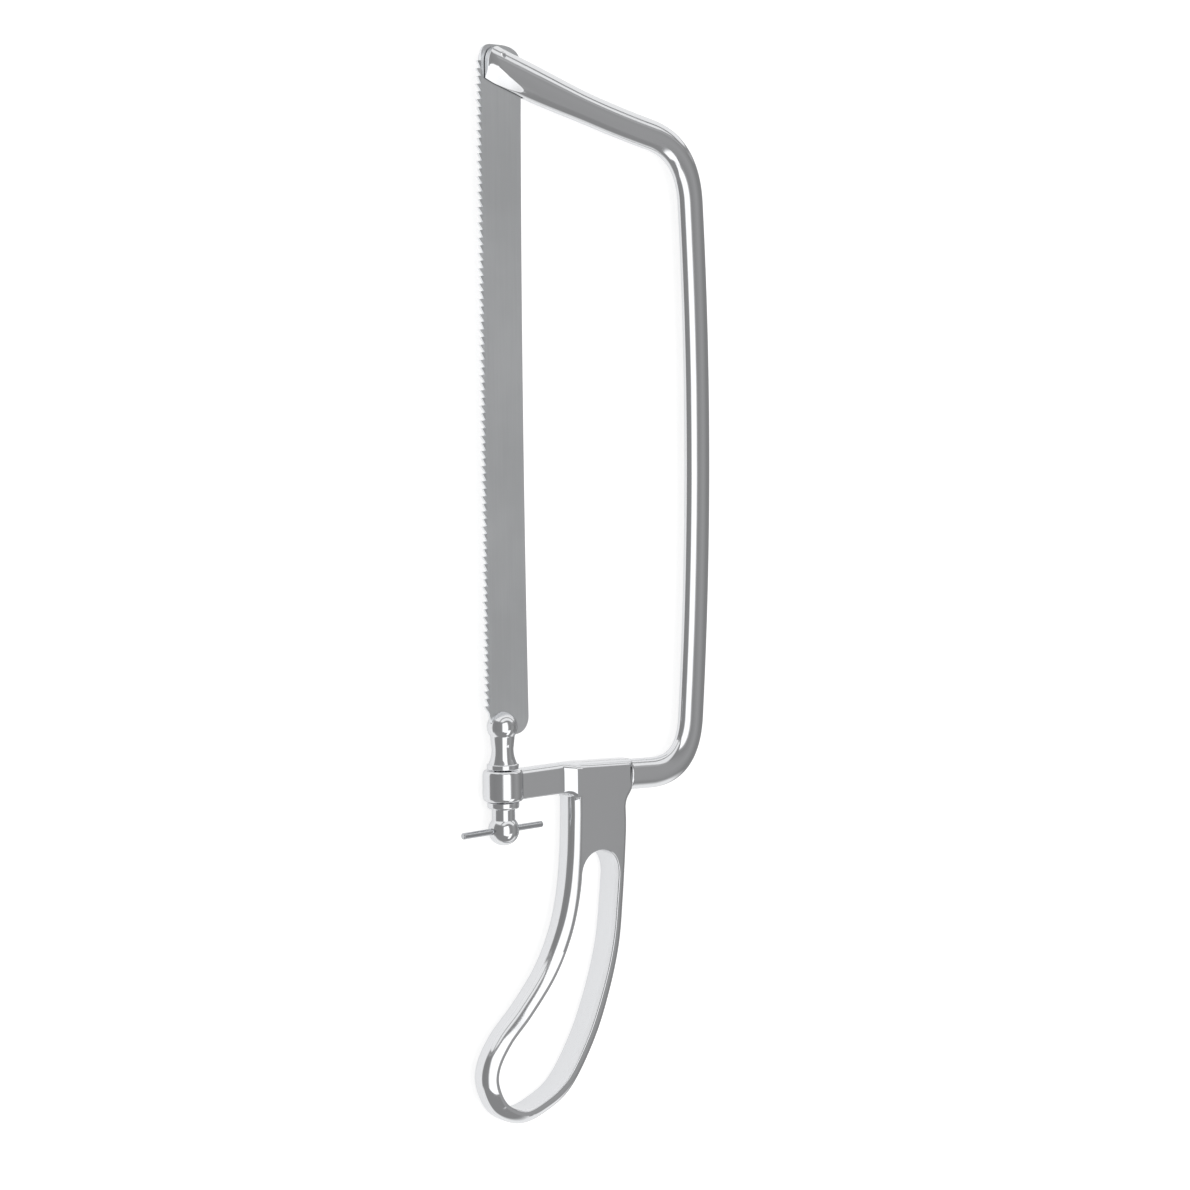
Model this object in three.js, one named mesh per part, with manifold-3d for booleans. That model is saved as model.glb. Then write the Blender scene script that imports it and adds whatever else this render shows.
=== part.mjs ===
// Butcher saw: a sprung steel bow, a loop handle and a thin toothed blade between them.
// The blade hooks on a pin in the forked toe of the bow and is pinned in a holder at its heel.
// The holder's screw runs through a barrel on the heel arm, and a ball nut with a tommy bar
// draws it tight.
//
// Millimetres. X runs from the teeth to the spine, Y along the blade towards the toe,
// and Z is square to the saw, which lies on its side. While it is being modelled the
// screw's middle, level with the heel arm, is at (0, 0, 0).
import * as THREE from "three";
import { mergeVertices } from "three/addons/utils/BufferGeometryUtils.js";
import Module from "manifold-3d";

const wasm = await Module();
wasm.setup();

// Clearances
const JOINT_GAP = 0.3; // between fixed pieces that touch
const PIN_GAP = 0.15; // round a pin in its hole
const SIDE_GAP = 0.1; // each side of the set teeth in a slot

// Blade
const BLADE_LENGTH = 228.6;
const BLADE_WIDTH = 19; // tooth tips to back
const BLADE_THICKNESS = 0.9;
const BLADE_OFFSET = 2; // blade centre line from the screw axis, towards the back
const BLADE_HOLLOW = 0.8; // the ground back edge is this much hollow in the middle
const BLADE_TOE_NOSE_RADIUS = 4.5; // toothed corner of the toe end
const BLADE_TOE_BACK_RADIUS = 9;
const BLADE_HEEL_RADIUS = 5.5;
const TOOTH_PITCH = 2.5;
const TOOTH_DEPTH = 1.7;
const TOOTH_SET = 0.25; // sideways bend of each tip, left and right in turn
const TOOTH_HOOK = 0.93; // share of a pitch at which the tip stands
const HEEL_PLAIN = 2.5; // edge without teeth past the heel's round
const TOE_PLAIN = 4; // edge without teeth at the toe
const BLADE_PIN_RADIUS = 1; // both blade pins
const HEEL_PIN_EDGE = 3; // heel pin to the blade's heel end
const TOE_PIN_EDGE = 3.4; // toe pin to the blade's toe end
const HEEL_PIN_SINK = 0.2; // each end of the heel pin lies below the holder's head

// Tension screw
const BARREL_RADIUS = 6.9;
const BARREL_LENGTH = 10.4;
const BARREL_RISE = 0.6; // the barrel's middle above the screw's
const BARREL_ROUND = 1.8; // length of the rounded ends
const BARREL_DRAW = 0.9; // how much those ends draw in
const SCREW_RADIUS = 2.5;
const SCREW_CHAMFER = 0.5;
const SCREW_GAP = 0.3;
const SLACK_TRAVEL = 4; // how far the holder moves to free the blade
const FLANGE_RADIUS = 5.4;
const FLANGE_THICKNESS = 1.8;
const FLANGE_LAND = 0.6; // flat ring on top of the flange
const WAIST_RADIUS = 4;
const WAIST_FLARE = 0.25; // half way down from the waist to the flange
const WAIST_HEIGHT = 4.7; // above the flange
const HEAD_RADIUS = 5.2;
const HEAD_HEIGHT = 12.5; // head centre above the flange
const SLOT_FLOOR_GAP = 0.5; // slot floor below the blade's heel
const COLLAR_RADIUS = 5.4;
const COLLAR_THICKNESS = 2.3;
const NUT_NECK_RADIUS = 3.95;
const NUT_NECK_LENGTH = 3.89; // collar to ball
const BALL_SWELL = 1.3; // the ball's radius past the neck's
const TOMMY_RADIUS = 1.1;
const TOMMY_LENGTH = 35;
const TOMMY_CHAMFER = 0.3;
const TOMMY_SHIFT = -0.4; // the bar sits a little towards the teeth
const NUT_WEB = 0.9; // metal between the screw hole and the tommy hole

// Bow
const BAR_HEIGHT = 10.8; // bar section in the plane of the saw
const BAR_DEPTH = 6.6; // bar section across the saw
const TOE_HEIGHT = 12.6;
const TOE_DEPTH = 6.8;
const TOE_FLARE = 34; // length over which the toe end tapers into the bar
const TOE_PIN_RISE = 3.8; // toe pin above the arm's centre line
const TOE_PIN_PROUD = 0.3; // each end of the toe pin stands out of its cheek
const NOSE_REACH = 6.35; // nose of the toe beyond the blade's centre line
const NOSE_TAPER = 7; // length over which the cheeks thin down to the nose
const NOSE_ROUND = 6; // length of the nose's rounded top
const NOSE_SQUARE = 1; // the nose is square up to this far above the arm's centre line
const TOE_SLOT_END = 1.2; // slot runs this far past the blade's back
const TOE_ARM_ANGLE = 18; // slope of the toe arm at the blade, degrees
const TOE_CORNER_ANGLE = 11.5; // slope of the toe arm at its corner
const TOE_ARM_BEND = 34.2; // blade's centre line to where the arm's two slopes meet
const HEEL_BAR_LENGTH = 30.1; // end of the bow's lower bar to the heel corner
const SPINE_TAPER = 2.1; // the toe corner stands this much farther out than the heel corner
const SPINE_BOW = 4; // how far the spine bows outwards
const CORNER_RUN = 19;
const HEEL_CORNER_DROP = 3.4; // heel corner below the screw's middle
const HEEL_BAR_ANGLE = 3; // slope of the bow's lower bar
const TENON_ROOT = 1; // how far the tenon reaches back into the bar
const TENON_LENGTH = 9;
const TENON_HEIGHT = 6;
const TENON_DEPTH = 3;

// Handle casting
const HANDLE_DEPTH = 10; // across the saw
const HANDLE_ROUND = 3.8; // how deep the rounded outer edge reaches in
const EDGE_LAND = 0.6; // straight part in the middle of that edge
const NECK_LEFT = 28; // screw axis to the neck
const NECK_WIDTH = 26;
const NECK_LENGTH = 12.5; // screw's middle to the start of the loop
const LOOP_LENGTH = 103;
const LOOP_SWEEP = 40; // how far the loop's end swings towards the teeth
const STRAP = 4.8; // thickness of the loop's band
const STRAP_AT_NECK = 3.8; // where its back leaves the neck
const STRAP_GROWTH_SHARE = 0.25; // share of the loop over which it reaches its full thickness
const OPENING_DROP = 13.5; // start of the loop to the top of the finger opening
const ARCH_HEIGHT = 8.5; // rounded top of the opening
const ARCH_FLATNESS = 6;
const BLOCK_STEP = 3.3; // the block stands this much wider than the neck
const BLOCK_FOOT = 4.5; // screw's middle to where the block narrows to the neck
const HEEL_ARM_TOP = 5.7; // screw's middle to the top of the arm and of the block
const BLOCK_FALL = 1.6; // the block's top slopes down by this much towards the bow
const HEEL_ARM_BOTTOM = 4.8;
const HEEL_ARM_DEPTH = 5.4;
const RAMP_LENGTH = 6; // slope from the heel arm's side up to the block's
const RAMP_END = 1.6; // the ramp ends this far inside the neck
const COVE_DROP = 2.2; // hollow under the arm, where it runs into the neck
const ARM_POWER = 2.8; // squareness of the arm's section, 2 being an oval
const ROOT_POWER = 2.3; // squareness of its root, which stays inside the block
const ARM_ROOT = 1; // the arm reaches this far past the neck's rounded edge
const SIDE_SINK = 0.02; // where two of these shapes run together, one lies this much deeper

// Facets
const ROUND_SEGMENTS = 36;
const BAR_SEGMENTS = 24;
const OUTLINE_SEGMENTS = 5;
const EDGE_SEGMENTS = 5;
const ARC_SEGMENTS = 8;
const ARM_STEPS = 14;
const CORNER_STEPS = 9;
const SPINE_STEPS = 12;
const BAR_STEPS = 2;
const OVERRUN = 20; // how far a cutting shape runs past what it cuts

// Places along the screw axis, from the barrel outwards
const flangeFoot = BARREL_RISE + BARREL_LENGTH / 2 + JOINT_GAP;
const flangeTop = flangeFoot + FLANGE_THICKNESS;
const headCentre = flangeTop + HEAD_HEIGHT;
const bladeHeel = headCentre - HEEL_PIN_EDGE;
const bladeToe = bladeHeel + BLADE_LENGTH;
const toePinY = bladeToe - TOE_PIN_EDGE;
const collarTop = BARREL_RISE - BARREL_LENGTH / 2 - JOINT_GAP;
const collarFoot = collarTop - COLLAR_THICKNESS;
const ballRadius = NUT_NECK_RADIUS + BALL_SWELL;
const ballSeam = collarFoot - NUT_NECK_LENGTH;
const ballCentre = ballSeam - Math.sqrt(ballRadius ** 2 - NUT_NECK_RADIUS ** 2);
const screwHoleEnd = ballCentre + TOMMY_RADIUS + PIN_GAP + NUT_WEB;
const slotWidth = BLADE_THICKNESS + 2 * TOOTH_SET + 2 * SIDE_GAP;
const toeArmY = toePinY - TOE_PIN_RISE;
const bladeBack = BLADE_OFFSET + BLADE_WIDTH / 2;
const bladeTips = BLADE_OFFSET - BLADE_WIDTH / 2;
const heelSide = bladeHeel + BLADE_HEEL_RADIUS;
const firstTooth = heelSide + HEEL_PLAIN;
const cheekShare = Math.sqrt(1 - (TOE_PIN_RISE / (TOE_HEIGHT / 2)) ** 2);
const toePinLength = TOE_DEPTH * cheekShare + 2 * TOE_PIN_PROUD;
const heelPinLength = 2 * (HEAD_RADIUS - HEEL_PIN_SINK);

// Small helpers
const radians = THREE.MathUtils.degToRad;
const point = (x, y) => new THREE.Vector2(x, y);
const heading = (degrees) => point(Math.cos(radians(degrees)), Math.sin(radians(degrees)));
const along = (from, direction, run) => from.clone().addScaledVector(direction, run);

function solid(geometry) {
  const bare = geometry.index ? geometry.toNonIndexed() : geometry.clone();
  bare.deleteAttribute("normal");
  bare.deleteAttribute("uv");
  const merged = mergeVertices(bare, 1e-4);
  const vertProperties = new Float32Array(merged.attributes.position.array);
  const triVerts = new Uint32Array(merged.index.array);
  return new wasm.Manifold(new wasm.Mesh({ numProp: 3, vertProperties, triVerts }));
}

function shape(manifold) {
  const mesh = manifold.getMesh();
  const geometry = new THREE.BufferGeometry();
  geometry.setAttribute("position", new THREE.BufferAttribute(mesh.vertProperties, 3));
  geometry.setIndex(new THREE.BufferAttribute(mesh.triVerts, 1));
  geometry.computeVertexNormals();
  return geometry;
}

// A plain slab of an outline, centred on the plane of the saw.
function slab(outline, depth, curveSegments = ARC_SEGMENTS) {
  const geometry = new THREE.ExtrudeGeometry(outline, { depth, bevelEnabled: false, curveSegments });
  return geometry.translate(0, 0, -depth / 2);
}

// A round bar across the saw, for pins and their holes.
function crossPin(x, y, radius, length) {
  const geometry = new THREE.CylinderGeometry(radius, radius, length, ROUND_SEGMENTS);
  return geometry.rotateX(Math.PI / 2).translate(x, y, 0);
}

// A closed body through a row of rings that all have the same number of points.
function loft(rings) {
  const count = rings[0].length;
  const total = (ring) => ring.reduce((sum, spot) => sum.add(spot), new THREE.Vector3());
  const centre = (ring) => total(ring).divideScalar(count);
  const spots = [...rings.flat(), centre(rings[0]), centre(rings.at(-1))];
  const positions = spots.flatMap((spot) => spot.toArray());
  const index = [];
  const first = rings.length * count;
  const last = first + 1;
  const end = (rings.length - 1) * count;
  for (let k = 0; k < count; k += 1) {
    const next = (k + 1) % count;
    for (let r = 0; r < rings.length - 1; r += 1) {
      const a = r * count;
      const b = a + count;
      index.push(a + k, b + next, b + k, a + k, a + next, b + next);
    }
    index.push(first, next, k, last, end + k, end + next);
  }
  const geometry = new THREE.BufferGeometry();
  geometry.setAttribute("position", new THREE.Float32BufferAttribute(positions, 3));
  geometry.setIndex(index);
  return geometry;
}

// One ring of a bar: a rounded section that grows squarer as its power rises above 2.
function barRing(centre, up, halfHeight, halfDepth, power = 2) {
  const swell = (value) => Math.sign(value) * Math.abs(value) ** (2 / power);
  return Array.from({ length: BAR_SEGMENTS }, (_, k) => {
    const turn = (2 * Math.PI * k) / BAR_SEGMENTS;
    const spot = along(centre, up, halfHeight * swell(Math.cos(turn)));
    return new THREE.Vector3(spot.x, spot.y, halfDepth * swell(Math.sin(turn)));
  });
}

// Blade: teeth raked towards the toe, a hole for the heel pin and a hook slot at the toe.
function bladeOutline() {
  const root = bladeTips + TOOTH_DEPTH;
  const grip = BLADE_PIN_RADIUS + PIN_GAP;
  const hookY = toePinY - SLACK_TRAVEL - PIN_GAP;
  const teeth = Math.floor((bladeToe - TOE_PLAIN - firstTooth) / TOOTH_PITCH);
  const outline = new THREE.Shape();
  outline.moveTo(root, heelSide);
  outline.absarc(root + BLADE_HEEL_RADIUS, heelSide, BLADE_HEEL_RADIUS, Math.PI, 1.5 * Math.PI);
  outline.absarc(bladeBack - BLADE_HEEL_RADIUS, heelSide, BLADE_HEEL_RADIUS, -Math.PI / 2, 0);
  const backMiddle = (bladeHeel + bladeToe) / 2;
  outline.quadraticCurveTo(bladeBack - 2 * BLADE_HOLLOW, backMiddle, bladeBack, hookY - grip);
  outline.absarc(BLADE_OFFSET, hookY, grip, -Math.PI / 2, -Math.PI, true);
  outline.absarc(BLADE_OFFSET, toePinY, grip, Math.PI, 0, true);
  outline.lineTo(BLADE_OFFSET + grip, hookY + grip);
  outline.lineTo(bladeBack, hookY + grip);
  const backRadius = Math.min(BLADE_TOE_BACK_RADIUS, bladeBack - root - BLADE_TOE_NOSE_RADIUS);
  outline.lineTo(bladeBack, Math.max(bladeToe - backRadius, hookY + grip));
  outline.quadraticCurveTo(bladeBack, bladeToe, bladeBack - backRadius, bladeToe);
  outline.lineTo(root + BLADE_TOE_NOSE_RADIUS, bladeToe);
  const noseY = Math.max(bladeToe - BLADE_TOE_NOSE_RADIUS, firstTooth + teeth * TOOTH_PITCH);
  outline.quadraticCurveTo(root, bladeToe, root, noseY);
  for (let k = teeth - 1; k >= 0; k -= 1) {
    const gullet = firstTooth + k * TOOTH_PITCH;
    outline.lineTo(root, gullet + TOOTH_PITCH);
    outline.lineTo(bladeTips, gullet + TOOTH_HOOK * TOOTH_PITCH);
  }
  outline.lineTo(root, firstTooth);
  const pinHole = new THREE.Path();
  pinHole.absarc(0, headCentre, grip, 0, 2 * Math.PI, true);
  outline.holes.push(pinHole);
  return outline;
}

function makeBlade() {
  const geometry = slab(bladeOutline(), BLADE_THICKNESS);
  const position = geometry.attributes.position;
  const tipLine = bladeTips + TOOTH_DEPTH / 2;
  for (let k = 0; k < position.count; k += 1) {
    if (position.getX(k) < tipLine) {
      const tooth = Math.floor((position.getY(k) - firstTooth) / TOOTH_PITCH);
      position.setZ(k, position.getZ(k) + (tooth % 2 ? TOOTH_SET : -TOOTH_SET));
    }
  }
  return shape(solid(geometry));
}

// Holder: a turned head with a slot for the blade, a waist, a flange and the screw below it.
function makeHolder() {
  const screwEnd = screwHoleEnd + JOINT_GAP;
  const waist = flangeTop + WAIST_HEIGHT;
  const swell = new THREE.SplineCurve([
    point(FLANGE_RADIUS - FLANGE_LAND, flangeTop),
    point(WAIST_RADIUS + WAIST_FLARE, (flangeTop + waist) / 2),
    point(WAIST_RADIUS, waist),
    point((WAIST_RADIUS + HEAD_RADIUS) / 2, (waist + headCentre) / 2),
    point(HEAD_RADIUS, headCentre),
  ]);
  const dome = Array.from({ length: ARC_SEGMENTS }, (_, k) => {
    const turn = (Math.PI / 2) * ((k + 1) / ARC_SEGMENTS);
    return point(HEAD_RADIUS * Math.cos(turn), headCentre + HEAD_RADIUS * Math.sin(turn));
  });
  dome[ARC_SEGMENTS - 1].x = 0;
  const profile = [
    point(0, screwEnd),
    point(SCREW_RADIUS - SCREW_CHAMFER, screwEnd),
    point(SCREW_RADIUS, screwEnd + SCREW_CHAMFER),
    point(SCREW_RADIUS, flangeFoot),
    point(FLANGE_RADIUS, flangeFoot),
    point(FLANGE_RADIUS, flangeTop),
    ...swell.getPoints(2 * ARC_SEGMENTS),
    ...dome,
  ];
  const turned = solid(new THREE.LatheGeometry(profile, ROUND_SEGMENTS));
  const slotFloor = bladeHeel - SLOT_FLOOR_GAP;
  const slotLength = headCentre + HEAD_RADIUS + OVERRUN - slotFloor;
  const across = 2 * HEAD_RADIUS + OVERRUN;
  const slot = new THREE.BoxGeometry(across, slotLength, slotWidth);
  slot.translate(0, slotFloor + slotLength / 2, 0);
  const pinHole = crossPin(0, headCentre, BLADE_PIN_RADIUS + PIN_GAP, across);
  return shape(turned.subtract(solid(slot)).subtract(solid(pinHole)));
}

// Barrel: the sleeve on the end of the heel arm that the screw runs through.
function makeBarrel() {
  const half = BARREL_LENGTH / 2;
  const bore = SCREW_RADIUS + SCREW_GAP;
  const round = (side) => Array.from({ length: EDGE_SEGMENTS + 1 }, (_, k) => {
    const turn = (Math.PI / 2) * (k / EDGE_SEGMENTS);
    const radius = BARREL_RADIUS - BARREL_DRAW * (1 - Math.sin(turn));
    return point(radius, side * (half - BARREL_ROUND * (1 - Math.cos(turn))));
  });
  const foot = point(bore, -half);
  const profile = [foot, ...round(-1), ...round(1).reverse(), point(bore, half), foot];
  const sleeve = new THREE.LatheGeometry(profile, ROUND_SEGMENTS);
  return shape(solid(sleeve.translate(0, BARREL_RISE, 0)));
}

// Nut: collar, short neck and ball in one turned piece, with the screw hole from above.
function makeNut() {
  const bore = SCREW_RADIUS + SCREW_GAP;
  const seam = Math.asin(NUT_NECK_RADIUS / ballRadius);
  const ballSteps = 2 * ARC_SEGMENTS;
  const ball = Array.from({ length: ballSteps + 1 }, (_, k) => {
    const turn = Math.PI - (Math.PI - seam) * (k / ballSteps);
    return point(ballRadius * Math.sin(turn), ballCentre + ballRadius * Math.cos(turn));
  });
  ball[0].x = 0;
  const profile = [
    ...ball,
    point(NUT_NECK_RADIUS, collarFoot),
    point(COLLAR_RADIUS, collarFoot),
    point(COLLAR_RADIUS, collarTop),
    point(bore, collarTop),
    point(bore, screwHoleEnd),
    point(0, screwHoleEnd),
  ];
  const turned = solid(new THREE.LatheGeometry(profile, ROUND_SEGMENTS));
  const tommyHole = tommyRod(TOMMY_RADIUS + PIN_GAP, 2 * ballRadius + OVERRUN);
  return shape(turned.subtract(solid(tommyHole)));
}

// A rod through the ball with chamfered ends, for the tommy bar and its hole.
function tommyRod(radius, length) {
  const half = length / 2;
  const profile = [
    point(0, -half),
    point(radius - TOMMY_CHAMFER, -half),
    point(radius, TOMMY_CHAMFER - half),
    point(radius, half - TOMMY_CHAMFER),
    point(radius - TOMMY_CHAMFER, half),
    point(0, half),
  ];
  const rod = new THREE.LatheGeometry(profile, ROUND_SEGMENTS);
  return rod.rotateZ(Math.PI / 2).translate(0, ballCentre, 0);
}

// Bow: one bar from the forked toe, round two corners and the bowed spine, to the block.
const neckRight = NECK_LEFT + NECK_WIDTH;
const blockEnd = neckRight + BLOCK_STEP;
const armRootEnd = NECK_LEFT + RAMP_END + HANDLE_ROUND + ARM_ROOT;
const barEnd = blockEnd + JOINT_GAP;
const heelCornerX = barEnd + HEEL_BAR_LENGTH;
const toeCornerX = heelCornerX + SPINE_TAPER;

function bowPath() {
  const toe = point(BLADE_OFFSET, toeArmY);
  const armBend = toe.clone();
  armBend.x += TOE_ARM_BEND;
  armBend.y -= TOE_ARM_BEND * Math.tan(radians(TOE_ARM_ANGLE));
  const cornerFall = (toeCornerX - armBend.x) * Math.tan(radians(TOE_CORNER_ANGLE));
  const toeCorner = point(toeCornerX, armBend.y - cornerFall);
  const heelCorner = point(heelCornerX, -HEEL_CORNER_DROP);
  const spineMiddle = toeCorner.clone().add(heelCorner).divideScalar(2);
  spineMiddle.x += 2 * SPINE_BOW;
  const nose = along(toe, heading(180 - TOE_ARM_ANGLE), NOSE_REACH + OVERRUN / 2);
  const cornerStart = along(toeCorner, heading(180 - TOE_CORNER_ANGLE), CORNER_RUN);
  const spineTop = along(toeCorner, spineMiddle.clone().sub(toeCorner).normalize(), CORNER_RUN);
  const spineFoot = along(heelCorner, spineMiddle.clone().sub(heelCorner).normalize(), CORNER_RUN);
  const intoBlock = heading(180 - HEEL_BAR_ANGLE);
  const barStart = along(heelCorner, intoBlock, CORNER_RUN);
  const barFinish = along(heelCorner, intoBlock, HEEL_BAR_LENGTH / Math.cos(radians(HEEL_BAR_ANGLE)));
  return [
    { curve: new THREE.QuadraticBezierCurve(nose, armBend, cornerStart), steps: ARM_STEPS },
    { curve: new THREE.QuadraticBezierCurve(cornerStart, toeCorner, spineTop), steps: CORNER_STEPS },
    { curve: new THREE.QuadraticBezierCurve(spineTop, spineMiddle, spineFoot), steps: SPINE_STEPS },
    { curve: new THREE.QuadraticBezierCurve(spineFoot, heelCorner, barStart), steps: CORNER_STEPS },
    { curve: new THREE.LineCurve(barStart, barFinish), steps: BAR_STEPS },
  ];
}

// The toe's side outline, square across the nose and rounded above it.
const noseX = BLADE_OFFSET - NOSE_REACH;

function noseOutline() {
  const crown = toeArmY + TOE_HEIGHT / 2 / Math.cos(radians(TOE_ARM_ANGLE));
  const far = toeCornerX + SPINE_BOW + BAR_HEIGHT + OVERRUN;
  const low = -HEEL_CORNER_DROP - BAR_HEIGHT - OVERRUN;
  const outline = new THREE.Shape();
  outline.moveTo(noseX, low);
  outline.lineTo(far, low);
  outline.lineTo(far, crown + OVERRUN);
  outline.lineTo(noseX + NOSE_ROUND, crown);
  outline.quadraticCurveTo(noseX, crown, noseX, toeArmY + NOSE_SQUARE);
  return outline;
}

// The toe seen along the blade: half an ellipse, so that the cheeks thin down to the nose.
function nosePlan() {
  const shoulder = noseX + NOSE_TAPER;
  const far = toeCornerX + SPINE_BOW + BAR_HEIGHT + OVERRUN;
  const wide = TOE_DEPTH + OVERRUN;
  const outline = new THREE.Shape();
  outline.absellipse(shoulder, 0, NOSE_TAPER, TOE_DEPTH / 2, Math.PI / 2, 1.5 * Math.PI);
  outline.lineTo(shoulder, -wide);
  outline.lineTo(far, -wide);
  outline.lineTo(far, wide);
  outline.lineTo(shoulder, wide);
  const top = toeArmY + TOE_HEIGHT + OVERRUN;
  const depth = top + HEEL_CORNER_DROP + BAR_HEIGHT + OVERRUN;
  return slab(outline, depth).rotateX(Math.PI / 2).translate(0, top - depth / 2, 0);
}

function makeBow() {
  const path = bowPath();
  const stations = path.flatMap(({ curve, steps }, part) => {
    const turns = Array.from({ length: steps + 1 }, (_, k) => k / steps).slice(part ? 1 : 0);
    return turns.map((t) => ({ centre: curve.getPoint(t), run: curve.getTangent(t), inToe: part === 0 }));
  });
  const rings = stations.map(({ centre, run, inToe }) => {
    const fromBlade = inToe ? (centre.x - bladeBack) / TOE_FLARE : 1;
    const flare = 1 - THREE.MathUtils.smoothstep(fromBlade, 0, 1);
    const halfHeight = THREE.MathUtils.lerp(BAR_HEIGHT, TOE_HEIGHT, flare) / 2;
    const halfDepth = THREE.MathUtils.lerp(BAR_DEPTH, TOE_DEPTH, flare) / 2;
    return barRing(centre, point(-run.y, run.x), halfHeight, halfDepth);
  });
  const side = solid(slab(noseOutline(), TOE_DEPTH + OVERRUN));
  const bar = solid(loft(rings)).intersect(side).intersect(solid(nosePlan()));
  const slotEnd = bladeBack + TOE_SLOT_END;
  const slot = new THREE.BoxGeometry(2 * OVERRUN, 2 * TOE_HEIGHT, slotWidth);
  slot.translate(slotEnd - OVERRUN, toeArmY, 0);
  const pinHole = crossPin(BLADE_OFFSET, toePinY, BLADE_PIN_RADIUS + PIN_GAP, TOE_DEPTH + OVERRUN);
  const tenon = tenonBlock(TENON_LENGTH, 0);
  return shape(bar.subtract(solid(slot)).subtract(solid(pinHole)).add(solid(tenon)));
}

// The bow's tenon, or with a clearance its mortise, at the middle of the bar's end.
function tenonBlock(length, clearance) {
  const run = length + clearance + TENON_ROOT;
  const rise = HEEL_BAR_LENGTH * Math.tan(radians(HEEL_BAR_ANGLE)) - HEEL_CORNER_DROP;
  const block = new THREE.BoxGeometry(run, TENON_HEIGHT + 2 * clearance, TENON_DEPTH + 2 * clearance);
  return block.translate(barEnd + TENON_ROOT - run / 2, rise, 0);
}

// Handle: block, neck and loop are one slab with a rounded edge all round, and the heel arm
// grows out of its side.
// Outer edge of the loop: each point is [across, down] from one side of the neck, across as
// a share of the loop's sweep and down as a share of its length.
const BACK_EDGE = [[0, 0], [0, 0.09], [0.045, 0.306], [0.1, 0.468], [0.225, 0.625], [0.41, 0.778]];
const END_EDGE = [[0.69, 0.921], [0.99, 0.983]];
const NOSE_EDGE = [[0.612, 1], [0.872, 0.95], [1, 0.857], [0.982, 0.775], [0.832, 0.69]];
const FRONT_EDGE = [[0.59, 0.607], [0.335, 0.502], [0.165, 0.39], [0.068, 0.275], [0.018, 0.143], [0, 0]];

function loopCurve() {
  const place = (side) => ([across, down]) =>
    point(side - across * LOOP_SWEEP, -NECK_LENGTH - down * LOOP_LENGTH);
  return new THREE.SplineCurve([
    ...[...BACK_EDGE, ...END_EDGE].map(place(neckRight)),
    ...[...NOSE_EDGE, ...FRONT_EDGE].map(place(NECK_LEFT)),
  ]);
}

function handleOutline() {
  const outline = new THREE.Shape();
  const waistY = (-BLOCK_FOOT - NECK_LENGTH) / 2;
  outline.moveTo(NECK_LEFT, HEEL_ARM_TOP);
  outline.lineTo(NECK_LEFT, -NECK_LENGTH);
  outline.splineThru(loopCurve().points.slice(0, -1).reverse());
  outline.bezierCurveTo(neckRight, waistY, blockEnd, waistY, blockEnd, -BLOCK_FOOT);
  outline.lineTo(blockEnd, HEEL_ARM_TOP - BLOCK_FALL);
  return outline;
}

// The finger opening follows the loop at the strap's thickness and is arched at the top.
function openingOutline() {
  const archFoot = -NECK_LENGTH - OPENING_DROP - ARCH_HEIGHT;
  const archTop = archFoot + ARCH_HEIGHT;
  const curve = loopCurve();
  const steps = OUTLINE_SEGMENTS * curve.points.length;
  const inside = Array.from({ length: steps + 1 }, (_, k) => {
    const run = curve.getTangent(k / steps);
    const growth = Math.min(1, k / steps / STRAP_GROWTH_SHARE);
    const thickness = THREE.MathUtils.lerp(STRAP_AT_NECK, STRAP, growth);
    return along(curve.getPoint(k / steps), point(run.y, -run.x), thickness);
  }).filter((p) => p.y < archFoot);
  const start = inside[0];
  const finish = inside.at(-1);
  const middle = (start.x + finish.x) / 2;
  const outline = new THREE.Shape(inside);
  const shoulder = archFoot + ARCH_HEIGHT / 2;
  outline.bezierCurveTo(finish.x, shoulder, middle - ARCH_FLATNESS, archTop, middle, archTop);
  outline.bezierCurveTo(middle + ARCH_FLATNESS, archTop, start.x, shoulder, start.x, start.y);
  return outline;
}

function makeHandle() {
  const body = new THREE.ExtrudeGeometry(handleOutline(), {
    depth: EDGE_LAND,
    bevelThickness: (HANDLE_DEPTH - EDGE_LAND) / 2,
    bevelSize: HANDLE_ROUND,
    bevelOffset: -HANDLE_ROUND,
    bevelSegments: EDGE_SEGMENTS,
    curveSegments: OUTLINE_SEGMENTS,
  }).translate(0, 0, -EDGE_LAND / 2);
  const opening = slab(openingOutline(), HANDLE_DEPTH + OVERRUN);
  const seat = BARREL_RADIUS + JOINT_GAP;
  const saddle = new THREE.CylinderGeometry(seat, seat, BARREL_LENGTH + OVERRUN, ROUND_SEGMENTS);
  const casting = solid(body).subtract(solid(opening)).add(solid(heelArm()));
  return shape(casting.subtract(solid(saddle)).subtract(solid(tenonBlock(TENON_LENGTH, JOINT_GAP))));
}

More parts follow.
